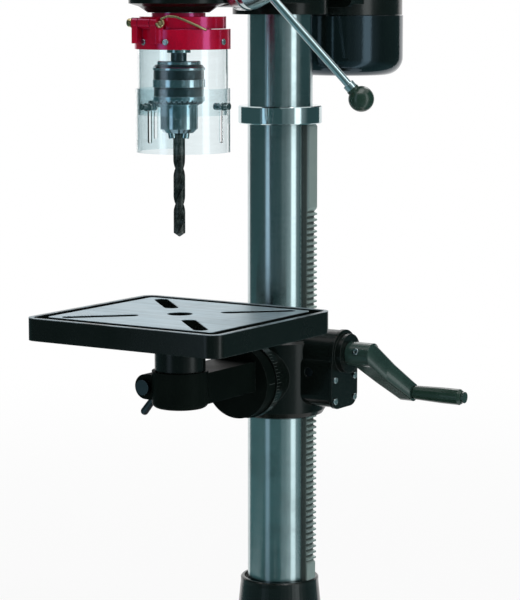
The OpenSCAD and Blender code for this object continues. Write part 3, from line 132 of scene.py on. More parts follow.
class PressStage(PropertyGroup):
    """Camera and light."""

    camera_at: FloatVectorProperty(
        name="Camera", description="Place of the camera", subtype="TRANSLATION", unit="LENGTH", size=3,
        default=(1.3233, -2.0901, 0.7505),
    )
    camera_turn: angle("Turn", "Turn of the camera about the vertical", 32.84)
    camera_dip: angle("Dip", "Angle that the camera looks down", 7.54)
    lens: FloatProperty(
        name="Lens", description="Focal length in millimetres", default=137.92, min=20, max=300,
    )
    card: colour("Card", "Dark card that the steel reflects", (0.042, 0.084, 0.088))
    card_r: length("Card radius", "Distance from the column to the card", 1.0)
    card_h: length("Card height", "Height of the card", 1.5)
    card_sweep: angle("Card sweep", "How far round the press the card goes", 268)
    key_turn: angle("Key strip", "Where the bright strip stands, from the front towards the right", 81.0)
    key_glow: glow("Key glow", "Brightness of the bright strip", 1.7)
    fill_turn: angle("Fill strip", "Where the weak strip stands, from the front towards the right", -11.5)
    fill_glow: glow("Fill glow", "Brightness of the weak strip", 1.0)


# Shader trees

# Sockets of a Mix node that mixes colours
MIX_FACTOR, MIX_A, MIX_B, MIX_RESULT = 0, 6, 7, 2

# Where most of a noise's values lie
NOISE_SPAN = (0.3, 0.7)

# Spans that a mask falls or rises over
FALLING = (1.0, 0.0)
RISING = (0.0, 1.0)


class Nodes:
    """Adds shader nodes to one tree and links them."""

    def __init__(self, tree):
        self.tree = tree

    def add(self, kind, inputs=(), **settings):
        """New node; each input is a socket to link or a value to set."""
        node = self.tree.nodes.new("ShaderNode" + kind)
        for key, value in settings.items():
            setattr(node, key, value)
        for key, value in dict(inputs).items():
            self.put(node.inputs[key], value)
        return node

    def put(self, socket, value):
        """Links a socket or sets its value."""
        if isinstance(value, bpy.types.NodeSocket):
            self.tree.links.new(value, socket)
        else:
            socket.default_value = value

    def math(self, operation, a, b=0.0, clamp=False):
        return self.add("Math", {0: a, 1: b}, operation=operation, use_clamp=clamp).outputs[0]

    def times(self, a, b):
        return self.math("MULTIPLY", a, b)

    def plus(self, a, b):
        return self.math("ADD", a, b)

    def larger(self, a, b):
        return self.math("MAXIMUM", a, b)

    def span(self, value, given, wanted=RISING, smooth=False):
        """Value brought from the given span to the wanted one."""
        limits = zip(("From Min", "From Max", "To Min", "To Max"), (*given, *wanted))
        kind = "SMOOTHSTEP" if smooth else "LINEAR"
        return self.add("MapRange", {"Value": value, **dict(limits)}, interpolation_type=kind).outputs[0]

    def mix(self, factor, a, b):
        """Colour between a and b."""
        node = self.add("Mix", {MIX_FACTOR: factor}, data_type="RGBA")
        for place, tone in ((MIX_A, a), (MIX_B, b)):
            linked = isinstance(tone, bpy.types.NodeSocket)
            self.put(node.inputs[place], tone if linked else (*tone, 1.0))
        return node.outputs[MIX_RESULT]

    def noise(self, vector, scale, detail, roughness):
        values = {"Vector": vector, "Scale": scale, "Detail": detail, "Roughness": roughness}
        return self.add("TexNoise", values).outputs[0]

    def place(self):
        """Object coordinates."""
        return self.add("TexCoord").outputs["Object"]

    def stretch(self, vector, scale=(1, 1, 1), location=(0, 0, 0)):
        return self.add("Mapping", {"Vector": vector, "Location": location, "Scale": scale}).outputs[0]

    def parts(self, vector):
        """X, Y and Z of a vector."""
        return self.add("SeparateXYZ", {0: vector}).outputs


def emptied(owner):
    """Nodes of a new material or world, without those it starts with."""
    owner.use_nodes = True
    owner.node_tree.nodes.clear()
    return Nodes(owner.node_tree)


def effect_group(name, inputs, outputs):
    """New shader node group: its tree, its nodes, its input sockets and its output sockets."""
    tree = bpy.data.node_groups.new(name, "ShaderNodeTree")
    for direction, sockets in (("INPUT", inputs), ("OUTPUT", outputs)):
        for socket, kind, *default in sockets:
            made = tree.interface.new_socket(name=socket, in_out=direction, socket_type="NodeSocket" + kind)
            if default:
                made.default_value = default[0]
    source = tree.nodes.new("NodeGroupInput")
    sink = tree.nodes.new("NodeGroupOutput")
    return tree, Nodes(tree), source.outputs, sink.inputs


def make_edge_rub():
    """Effect: soft edges, and an edge mask for rubbed-off wear and a painted edge highlight."""
    tree, n, source, sink = effect_group(
        "Edge rub",
        (("Radius", "Float", 0.001), ("Break up", "Float", 90.0), ("Amount", "Float", 0.6)),
        (("Mask", "Float"), ("Normal", "Vector")),
    )
    rounded = n.add("Bevel", {"Radius": source["Radius"]}, samples=6).outputs[0]
    flat = n.add("NewGeometry").outputs["True Normal"]
    facing = n.add("VectorMath", {0: rounded, 1: flat}, operation="DOT_PRODUCT").outputs["Value"]
    edge = n.span(facing, (0.985, 0.80))
    patchy = n.span(n.noise(n.place(), source["Break up"], 4.0, 0.6), (0.42, 0.62))
    n.put(sink["Mask"], n.math("MULTIPLY", n.times(edge, patchy), source["Amount"], clamp=True))
    n.put(sink["Normal"], rounded)
    return tree


def make_cast_skin():
    """Effect: faint pits and waves of a painted casting, and a mottle for its gloss."""
    tree, n, source, sink = effect_group(
        "Cast skin",
        (("Grain", "Float", 420.0), ("Wave", "Float", 26.0)),
        (("Height", "Float"), ("Mottle", "Float")),
    )
    vector = n.place()
    grain = n.noise(vector, source["Grain"], 3.0, 0.55)
    wave = n.noise(vector, source["Wave"], 2.0, 0.5)
    for output, grain_share in (("Height", 0.35), ("Mottle", 0.3)):
        n.put(sink[output], n.plus(n.times(grain, grain_share), n.times(wave, 1 - grain_share)))
    return tree


def make_tool_marks():
    """Effect: fine lines left by a grinder or cutter, and a stain over them."""
    tree, n, source, sink = effect_group(
        "Tool marks",
        (("Vector", "Vector"),),
        (("Height", "Float"), ("Streak", "Float"), ("Stain", "Float")),
    )
    fine = n.noise(source["Vector"], 6.0, 2.0, 0.7)
    coarse = n.noise(source["Vector"], 1.0, 3.0, 0.6)
    stain = n.span(n.noise(n.place(), 14.0, 4.0, 0.65), (0.45, 0.75), smooth=True)
    n.put(sink["Height"], n.plus(n.times(fine, 0.6), n.times(coarse, 0.4)))
    n.put(sink["Streak"], coarse)
    n.put(sink["Stain"], stain)
    return tree


EFFECT_MAKERS = {"Edge rub": make_edge_rub, "Cast skin": make_cast_skin, "Tool marks": make_tool_marks}
EFFECTS = {}


def effect(n, name, **inputs):
    """Places a shared effect in a material; an input's name has _ for a space."""
    if name not in EFFECTS:
        EFFECTS[name] = EFFECT_MAKERS[name]()
    node = n.add("Group", node_tree=EFFECTS[name])
    for key, value in inputs.items():
        n.put(node.inputs[key.replace("_", " ")], value)
    return node.outputs


def tool_marks(n, lines):
    """Places tool marks; lines gives their scale along X, Y and Z."""
    return effect(n, "Tool marks", Vector=n.stretch(n.place(), lines))


def new_finish(name):
    """New material with a Principled shader: the material, its nodes and the shader's sockets."""
    material = bpy.data.materials.new(name)
    n = emptied(material)
    shader = n.add("BsdfPrincipled")
    n.put(n.add("OutputMaterial").inputs["Surface"], shader.outputs[0])
    return material, n, shader.inputs


def set_plain(bsdf, **values):
    """Sets what is the same all over a surface on the shader's own sockets."""
    for key, value in values.items():
        bsdf[key.replace("_", " ")].default_value = value


def bump(n, height, distance, strength, normal):
    """Normal from a height, over a rounded normal."""
    values = {"Height": height, "Distance": distance, "Strength": strength, "Normal": normal}
    return n.add("Bump", values).outputs[0]


def scaled(factor, tone, lift=0.0):
    """Tone made darker or brighter."""
    return tuple(min(1.0, lift + factor * part) for part in tone)


def enamel_finish(name, paint, worn, gloss=(0.13, 0.27), rub=0.5, radius=0.0012, coat=0.04, shine=0.24,
                  tint=(1, 1, 1), ior=1.5):
    """Gloss enamel on a casting, lighter along its edges: rubbed-thin wear and a painted edge highlight."""
    material, n, bsdf = new_finish(name)
    edge = effect(n, "Edge rub", Radius=radius, Break_up=70.0, Amount=rub)
    skin = effect(n, "Cast skin")
    mottled = n.mix(n.span(skin["Mottle"], (0.35, 0.65)), paint, scaled(1.5, paint))
    # Edges take the lighter tone: partly rubbed-thin wear, partly a painted edge highlight
    n.put(bsdf["Base Color"], n.mix(edge["Mask"], mottled, worn))
    n.put(bsdf["Roughness"], n.span(skin["Mottle"], NOISE_SPAN, gloss))
    n.put(bsdf["Normal"], bump(n, skin["Height"], 0.0012, 0.16, edge["Normal"]))
    set_plain(bsdf, Specular_IOR_Level=shine, Specular_Tint=(*tint, 1.0), IOR=ior)
    set_plain(bsdf, Coat_Weight=coat, Coat_Roughness=0.06)
    return material


def steel_finish(name, bright, stain, lines, gloss, metallic=1.0, smear=0.0):
    """Machined steel with fine tool marks.

    A smear draws reflections out along Z, as grinding round that axis does.
    """
    material, n, bsdf = new_finish(name)
    marks = tool_marks(n, lines)
    edge = effect(n, "Edge rub", Radius=0.0006, Break_up=160.0, Amount=0.5)
    tone = n.mix(n.times(marks["Stain"], 0.7), bright, stain)
    n.put(bsdf["Base Color"], n.mix(edge["Mask"], tone, scaled(1.35, bright)))
    dull = n.plus(marks["Streak"], n.times(marks["Stain"], 0.25))
    n.put(bsdf["Roughness"], n.span(dull, (0.35, 0.8), gloss))
    n.put(bsdf["Normal"], bump(n, marks["Height"], 0.00004, 0.5, edge["Normal"]))
    set_plain(bsdf, Metallic=metallic)
    if smear:
        n.put(bsdf["Tangent"], n.add("Tangent", direction_type="RADIAL", axis="Z").outputs[0])
        set_plain(bsdf, Anisotropic=smear, Anisotropic_Rotation=0.25)
    return material


def plastic_finish(name, tone, gloss=(0.22, 0.38), grain=700.0):
    """Moulded plastic with a fine skin."""
    material, n, bsdf = new_finish(name)
    edge = effect(n, "Edge rub", Radius=0.0007, Break_up=120.0, Amount=0.25)
    skin = effect(n, "Cast skin", Grain=grain, Wave=60.0)
    mottled = n.mix(skin["Mottle"], tone, scaled(1.3, tone))
    # Edges lighter: partly rubbed wear, partly a painted edge highlight
    n.put(bsdf["Base Color"], n.mix(edge["Mask"], mottled, scaled(1.6, tone, lift=0.05)))
    n.put(bsdf["Roughness"], n.span(skin["Mottle"], NOISE_SPAN, gloss))
    n.put(bsdf["Normal"], bump(n, skin["Height"], 0.0003, 0.2, edge["Normal"]))
    return material


def dress(material, *names):
    """Gives a material to CAD nodes."""
    for name in names:
        piece = NODES[name]
        if not piece.material_slots:
            piece.data.materials.append(material)
        for place in piece.material_slots:
            place.material = material


# Mesh pieces

MERGE_DISTANCE = 1e-6
SHARP_ANGLE = math.radians(32)
WIRE_SIDES = 10
LATHE_STEPS = 48
WHOLE_TURN = 2 * math.pi
ORIGIN = (0, 0, 0)
UP = (0, 0, 1)
FACING_FRONT = Matrix.Rotation(math.pi / 2, 4, "X")

# How far a screw head is let into its seat
LET_IN = 0.0001


def mesh_of(bm, name):
    """Mesh made of a bmesh, which is freed."""
    mesh = bpy.data.meshes.new(name)
    bm.to_mesh(mesh)
    bm.free()
    return mesh


def in_scene(name, data):
    """New object in the scene."""
    item = bpy.data.objects.new(name, data)
    bpy.context.scene.collection.objects.link(item)
    return item


def put_piece(name, bm, material, body):
    """Makes a finished mesh into a piece that rides on a body."""
    bmesh.ops.remove_doubles(bm, verts=bm.verts, dist=MERGE_DISTANCE)
    bmesh.ops.recalc_face_normals(bm, faces=bm.faces)
    mesh = mesh_of(bm, name)
    for face in mesh.polygons:
        face.use_smooth = True
    mesh.set_sharp_from_angle(angle=SHARP_ANGLE)
    mesh.materials.append(material)
    piece = in_scene(name, mesh)
    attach(piece, body)


def placed(bm, make, matrix):
    """Runs make on a fresh bmesh, moves it by the matrix and joins it to bm."""
    part = bmesh.new()
    make(part)
    bmesh.ops.transform(part, matrix=matrix, verts=part.verts)
    mesh = mesh_of(part, "joined")
    bm.from_mesh(mesh)
    bpy.data.meshes.remove(mesh)


def seated(at, out):
    """Matrix that moves the origin to a point and turns +Z outwards."""
    turn = Vector(UP).rotation_difference(Vector(out)).to_matrix().to_4x4()
    return Matrix.Translation(at) @ turn


def verts_of(geom):
    """Verts among the elements that an operator gives back."""
    return [g for g in geom if isinstance(g, bmesh.types.BMVert)]


def line(bm, points):
    """Verts and edges of an open line through points."""
    verts = [bm.verts.new(point) for point in points]
    edges = [bm.edges.new(pair) for pair in zip(verts, verts[1:])]
    return verts + edges


def soften(bm, edges, offset, segments=2):
    """Rounds edges."""
    bmesh.ops.bevel(
        bm, geom=edges, offset=offset, offset_type="OFFSET", segments=segments, profile=0.5, affect="EDGES",
        material=-1,
    )


def round_head(bm, r, h, sides, soft, segments):
    """Round screw head on the origin, with a softened rim; gives back its top face."""
    stand = Matrix.Translation((0, 0, h / 2))
    bmesh.ops.create_cone(bm, cap_ends=True, segments=sides, radius1=r, radius2=r, depth=h, matrix=stand)
    rim = [e for e in bm.edges if all(v.co.z > 0.9 * h for v in e.verts)]
    soften(bm, rim, soft, segments)
    return max(bm.faces, key=lambda f: f.calc_center_median().z)


def flat_top(bm, h):
    """Faces that lie flat on top of a head."""
    return [f for f in bm.faces if f.normal.z > 0.9 and f.calc_center_median().z > 0.95 * h]


def recess(bm, faces, depth):
    """Pushes faces straight down into their piece."""
    made = bmesh.ops.extrude_face_region(bm, geom=faces)["geom"]
    bmesh.ops.delete(bm, geom=faces, context="FACES")
    bmesh.ops.translate(bm, vec=(0, 0, -depth), verts=verts_of(made))


def pan_screw(r, h):
    """Maker of a pan-head screw at the origin, head up, with a driver slot."""
    def make(bm):
        top = round_head(bm, r, h, sides=28, soft=min(0.45 * h, 0.3 * r), segments=4)
        bmesh.ops.inset_individual(bm, faces=[top], thickness=0.12 * r)
        slot_half = 0.16 * r
        for side in (-slot_half, slot_half):
            geom = dict.fromkeys(g for f in flat_top(bm, h) for g in (f, *f.edges, *f.verts))
            bmesh.ops.bisect_plane(bm, geom=list(geom), plane_co=(0, side, 0), plane_no=(0, 1, 0))
        slot = [f for f in flat_top(bm, h) if abs(f.calc_center_median().y) < 0.9 * slot_half]
        recess(bm, slot, 0.45 * h)
    return make


def socket_screw(r, h):
    """Maker of a socket screw's head at the origin, head up."""
    def make(bm):
        top = round_head(bm, r, h, sides=24, soft=0.12 * r, segments=2)
        bmesh.ops.inset_individual(bm, faces=[top], thickness=0.35 * r)
        recess(bm, [top], 0.6 * h)
    return make


def wire(points, r):
    """Maker of a round wire along a line of points."""
    def make(bm):
        path = [Vector(point) for point in points]
        for i, at in enumerate(path):
            ahead = path[min(i + 1, len(path) - 1)] - path[max(i - 1, 0)]
            turn = seated(at, ahead.normalized())
            if i == 0:
                start = bmesh.ops.create_circle(bm, cap_ends=True, segments=WIRE_SIDES, radius=r, matrix=turn)
                ring = start["verts"]
            else:
                face = next(f for f in bm.faces if set(f.verts) == set(ring))
                made = bmesh.ops.extrude_face_region(bm, geom=[face])["geom"]
                if i > 1:
                    bmesh.ops.delete(bm, geom=[face], context="FACES_ONLY")
                ring = verts_of(made)
                bmesh.ops.transform(bm, matrix=turn @ before.inverted(), verts=ring)
            before = turn
    return make


def lathe(profile):
    """Maker of a turned piece about Z from a profile of (radius, height) points."""
    def make(bm):
        geom = line(bm, [(r, 0, z) for r, z in profile])
        bmesh.ops.spin(
            bm, geom=geom, cent=ORIGIN, axis=UP, angle=WHOLE_TURN, steps=LATHE_STEPS, use_merge=True,
        )
        bmesh.ops.remove_doubles(bm, verts=bm.verts, dist=MERGE_DISTANCE)
    return make


def block(size, soft=0):
    """Maker of a block that stands on the origin, its edges rounded where soft is given."""
    def make(bm):
        stand = Matrix.Translation((0, 0, size[2] / 2)) @ Matrix.Diagonal((*size, 1.0))
        bmesh.ops.create_cube(bm, size=1.0, matrix=stand)
        if soft:
            soften(bm, list(bm.edges), soft)
    return make


def numeral(text, size):
    """Maker of thin figures, centred on the origin in the XY plane."""
    def make(bm):
        curve = bpy.data.curves.new("figure", "FONT")
        curve.body = text
        curve.size = size
        curve.align_x = "CENTER"
        curve.align_y = "CENTER"
        curve.extrude = 0.00005
        curve.resolution_u = 3
        holder = bpy.data.objects.new("figure", curve)
        mesh = bpy.data.meshes.new_from_object(holder)
        bm.from_mesh(mesh)
        bpy.data.objects.remove(holder)
        bpy.data.curves.remove(curve)
        bpy.data.meshes.remove(mesh)
    return make


# Operators

# Scale of tool marks along X, Y and Z
TURNED_LINES = (5.0, 5.0, 300.0)
ROD_LINES = (160.0, 30.0, 30.0)
SCREW_LINES = (90.0, 90.0, 90.0)


class PressOperator:
    """What the press's operators share."""

    bl_options = {"REGISTER", "UNDO"}

    @property
    def sizes(self):
        """The fittings' sizes."""
        return bpy.context.scene.press_sizes

    def tone(self, name):
        """One of the press's colours."""
        return tuple(getattr(bpy.context.scene.press_finishes, name))

    def fitting_steel(self, name, gloss, lines=SCREW_LINES):
        """Steel of small fittings."""
        return steel_finish(name, self.tone("steel"), self.tone("steel_stain"), lines, gloss)


class PRESS_OT_castings(PressOperator, Operator):
    """Enamels the castings, the motor and the belt cover"""

    bl_idname = "press.castings"
    bl_label = "Castings"

    def execute(self, context):
        coats = (self.tone("enamel"), self.tone("enamel_worn"))
        dress(enamel_finish("cast_enamel", *coats), "table_bracket", "gear_cover", "head", "spring_cap")
        arm = enamel_finish("arm_enamel", *coats, gloss=(0.34, 0.46), coat=0.0, shine=0.02)
        dress(arm, "table_arm")
        body = enamel_finish("body_enamel", *coats, gloss=(0.14, 0.26), rub=0.6, coat=0.2, shine=0.42)
        dress(body, "base", "column_holder")
        sheet = enamel_finish(
            "sheet_enamel", *coats, gloss=(0.16, 0.26), radius=0.0010, coat=0.15, shine=0.42,
        )
        dress(sheet, "belt_cover_tray", "belt_cover_lid", "motor_plate", "motor_body")
        # The bluish specular tint is a painted reflection colour, standing in for a bluish light on the cover
        fan_cover = enamel_finish(
            "fan_cover_enamel", *coats, gloss=(0.06, 0.11), radius=0.0010, coat=0.05, shine=0.68,
            tint=(0.52, 0.78, 1.0),
        )
        dress(fan_cover, "motor_fan_cover")
        crank = enamel_finish(
            "crank_enamel", self.tone("crank"), self.tone("enamel_worn"), gloss=(0.16, 0.28), rub=0.7,
            coat=0.3, shine=0.5,
        )
        dress(crank, "crank_arm")
        return {"FINISHED"}


class PRESS_OT_table(PressOperator, Operator):
    """Gives the table its milled top, worn rim and enamelled skirt"""

    bl_idname = "press.table"
    bl_label = "Table"

    RIM_WIDTH = 0.017
    RIM_BLUR = 0.0002
    TOP_SKIN = (-0.0006, -0.0003)

    def execute(self, context):
        low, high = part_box("table")
        half = (high - low) / 2
        material, n, bsdf = new_finish("table_iron")
        vector = n.place()
        x, y, z = n.parts(n.stretch(vector, location=(-SPINDLE.x, -SPINDLE.y, -high.z)))
        top = n.span(z, self.TOP_SKIN)
        inside = n.times(self.inside(n, x, half.x), self.inside(n, y, half.y))
        pad = n.times(top, inside)
        rim = n.times(top, n.math("SUBTRACT", 1.0, inside))
        edge = effect(n, "Edge rub", Radius=0.0016, Break_up=60.0, Amount=0.9)
        skin = effect(n, "Cast skin")
        marks = tool_marks(n, (6.0, 220.0, 6.0))
        bare = self.tone("machined")
        iron = n.mix(n.span(marks["Streak"], NOISE_SPAN), scaled(0.82, bare), scaled(1.16, bare))
        iron = n.mix(n.times(marks["Stain"], 0.5), iron, scaled(0.62, bare))
        patches = n.span(n.noise(vector, 55.0, 4.0, 0.6), (0.32, 0.62), (0.10, 0.75))
        shown = n.larger(pad, n.math("MULTIPLY", rim, patches, clamp=True))
        # Lighter enamel at the edges: partly wear, partly a painted edge highlight
        enamel = n.mix(edge["Mask"], self.tone("enamel"), self.tone("enamel_worn"))
        n.put(bsdf["Base Color"], n.mix(shown, enamel, iron))
        n.put(bsdf["Metallic"], n.times(shown, 0.75))
        mottle = n.span(skin["Mottle"], NOISE_SPAN, (0.16, 0.30))
        n.put(bsdf["Roughness"], n.plus(n.times(shown, 0.20), mottle))
        height = n.plus(n.times(n.times(marks["Height"], shown), 0.10), skin["Height"])
        n.put(bsdf["Normal"], bump(n, height, 0.001, 0.16, edge["Normal"]))
        set_plain(bsdf, Specular_IOR_Level=0.32)
        dress(material, "table")
        return {"FINISHED"}

    def inside(self, n, part, half):
        """One inside the rim, along X or Y."""
        edge = half - self.RIM_WIDTH
        return n.span(n.math("ABSOLUTE", part), (edge - self.RIM_BLUR, edge + self.RIM_BLUR), FALLING)


class PRESS_OT_bright_steel(PressOperator, Operator):
    """Polishes the column, its ring, the feed hub and the other steel"""

    bl_idname = "press.bright_steel"
    bl_label = "Bright steel"

    # How far the grease reaches in from the teeth's tips
    GREASE_SPAN = (0.0042, 0.0012)

    def execute(self, context):
        steel = self.tone("steel")
        stain = self.tone("steel_stain")
        bright = scaled(1.28, steel)
        dress(steel_finish("column_steel", steel, stain, TURNED_LINES, (0.18, 0.25), smear=1.0), "column")
        shafts = steel_finish("shaft_steel", steel, stain, TURNED_LINES, (0.10, 0.17))
        dress(shafts, "quill", "spindle", "idler_post")
        dress(steel_finish("ring_steel", bright, steel, TURNED_LINES, (0.06, 0.11)), "rack_collar")
        dress(steel_finish("rod_steel", scaled(1.55, steel), bright, ROD_LINES, (0.14, 0.24)), "feed_rods")
        feed = steel_finish("feed_steel", steel, stain, ROD_LINES, (0.12, 0.22))
        dress(feed, "feed_hub", "feed_shaft", "worm_shaft", "tilt_bolt", "lid_hinge_pin")
        alloy = steel_finish(
            "alloy", (0.62, 0.64, 0.65), (0.42, 0.44, 0.45), (8.0, 8.0, 260.0), (0.24, 0.40),
        )
        dress(alloy, "motor_pulley", "idler_pulley", "spindle_pulley", "depth_ring")
        oxide = steel_finish(
            "black_oxide", (0.11, 0.125, 0.14), (0.06, 0.065, 0.07), (60.0, 60.0, 60.0), (0.26, 0.42),
        )
        dress(
            oxide, "holder_bolts", "set_screws", "return_spring", "quill_bearings", "chuck_arbor",
            "lift_pinion", "bracket_lock_lever", "table_lock_lever", "motor_rotor",
        )
        dress(self.rack(self.tone("rack"), stain), "rack")
        winding = steel_finish(
            "winding", (0.40, 0.17, 0.06), (0.22, 0.09, 0.04), (30.0, 30.0, 300.0), (0.3, 0.5), metallic=0.6,
        )
        dress(winding, "motor_stator")
        return {"FINISHED"}

    def rack(self, steel, stain):
        """Steel of the rack, with old grease between its teeth."""
        material, n, bsdf = new_finish("rack_steel")
        marks = tool_marks(n, (20.0, 200.0, 20.0))
        edge = effect(n, "Edge rub", Radius=0.0003, Break_up=200.0, Amount=0.6)
        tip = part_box("rack")[1].x
        reach = [tip - depth for depth in self.GREASE_SPAN]
        grease = n.span(n.parts(n.place())["X"], reach, FALLING, smooth=True)
        tone = n.mix(n.times(marks["Stain"], 0.6), steel, stain)
        tone = n.mix(n.times(grease, 0.9), tone, (0.02, 0.03, 0.026))
        n.put(bsdf["Base Color"], n.mix(edge["Mask"], tone, steel))
        n.put(bsdf["Metallic"], n.math("SUBTRACT", 0.6, n.times(grease, 0.4)))
        n.put(bsdf["Roughness"], n.span(marks["Streak"], NOISE_SPAN, (0.36, 0.52)))
        n.put(bsdf["Normal"], bump(n, marks["Height"], 0.00005, 0.5, edge["Normal"]))
        return material


class PRESS_OT_chuck(PressOperator, Operator):
    """Finishes the chuck and the drill"""

    bl_idname = "press.chuck"
    bl_label = "Chuck and drill"

    # Knurled bands: their middles below the sleeve's top, half their height, and their crossing lines
    BAND_DROPS = (0.0098, 0.0266)
    BAND_HALF = 0.0045
    BAND_BLUR = 0.0003
    KNURLS = 60.0
    KNURL_TWIST = 2600.0

    # Where the painted shade of the sleeve's grooves starts below its face, and how far up the drill its lips
    # are bright
    GROOVE_SPAN = (0.0016, 0.0006)
    LIP_SPAN = (0.001, 0.012)

    def execute(self, context):
        tone = self.tone("chuck")
        body = steel_finish("chuck_steel", tone, scaled(0.6, tone), (6.0, 6.0, 320.0), (0.07, 0.13))
        dress(body, "chuck_body", "chuck_jaw_a", "chuck_jaw_b", "chuck_jaw_c")
        dress(self.sleeve(tone), "chuck_sleeve")
        dress(self.drill(), "drill_bit")
        return {"FINISHED"}

    def from_axis(self, n):
        """Distance from the spindle's axis, and X, Y and Z from it."""
        x, y, z = n.parts(n.stretch(n.place(), location=tuple(-SPINDLE)))
        return n.math("SQRT", n.plus(n.times(x, x), n.times(y, y))), x, y, z

    def sleeve(self, tone):
        """Chuck sleeve with blackened knurled bands between its grooves, and painted shade in the grooves."""
        material, n, bsdf = new_finish("chuck_sleeve_steel")
        reach, x, y, z = self.from_axis(n)
        r = half_width("chuck_sleeve")
        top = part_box("chuck_sleeve")[1].z
        edge = effect(n, "Edge rub", Radius=0.0005, Break_up=200.0, Amount=0.6)
        marks = effect(n, "Tool marks", Vector=n.add("CombineXYZ", {"Z": n.times(z, 320.0)}).outputs[0])
        # Painted shade: the surface sunk into the grooves is darkened
        groove_shade = n.span(reach, [r - depth for depth in self.GROOVE_SPAN], FALLING)
        band = n.larger(*(self.band(n, z, top - drop) for drop in self.BAND_DROPS))
        around = n.times(n.math("ARCTAN2", y, x), self.KNURLS)
        twist = n.times(z, self.KNURL_TWIST)
        right = n.math("SINE", n.plus(around, twist))
        left = n.math("SINE", n.math("SUBTRACT", around, twist))
        height = n.plus(n.times(n.times(right, left), band), n.times(marks["Height"], 0.15))
        worn = n.mix(n.times(marks["Stain"], 0.6), tone, scaled(0.6, tone))
        # Darker where knurled, plus painted shade in the grooves
        dark = n.larger(n.times(groove_shade, 0.9), n.times(band, 0.93))
        n.put(bsdf["Base Color"], n.mix(dark, worn, self.tone("knurl")))
        streaks = n.span(marks["Streak"], NOISE_SPAN, (0.06, 0.11))
        n.put(bsdf["Roughness"], n.plus(streaks, n.times(dark, 0.24)))
        n.put(bsdf["Normal"], bump(n, height, 0.00012, 0.5, edge["Normal"]))
        set_plain(bsdf, Metallic=1.0)
        return material

    def band(self, n, z, centre):
        """One inside a band of the sleeve's height."""
        off = n.math("ABSOLUTE", n.math("SUBTRACT", z, centre))
        return n.span(off, (self.BAND_HALF - self.BAND_BLUR, self.BAND_HALF + self.BAND_BLUR), FALLING)

    def drill(self):
        """Black oxide, rubbed bright on the lands and the cutting lips."""
        material, n, bsdf = new_finish("drill_oxide")
        reach, _, _, z = self.from_axis(n)
        r = half_width("drill_bit")
        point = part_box("drill_bit")[0].z
        marks = tool_marks(n, (40.0, 40.0, 200.0))
        edge = effect(n, "Edge rub", Radius=0.0005, Break_up=140.0, Amount=0.9)
        land = n.times(n.span(reach, (0.93 * r, r)), n.span(marks["Streak"], (0.4, 0.7)))
        lip = n.span(z, [point + rise for rise in self.LIP_SPAN], (0.7, 0.0))
        bright = n.math("MAXIMUM", n.times(land, 0.35), n.times(lip, 0.5), clamp=True)
        bright = n.larger(bright, n.times(edge["Mask"], 0.5))
        n.put(bsdf["Base Color"], n.mix(bright, self.tone("drill"), (0.34, 0.33, 0.31)))
        n.put(bsdf["Roughness"], n.span(marks["Streak"], NOISE_SPAN, (0.24, 0.42)))
        n.put(bsdf["Normal"], bump(n, marks["Height"], 0.00006, 0.5, edge["Normal"]))
        set_plain(bsdf, Metallic=0.8)
        return material


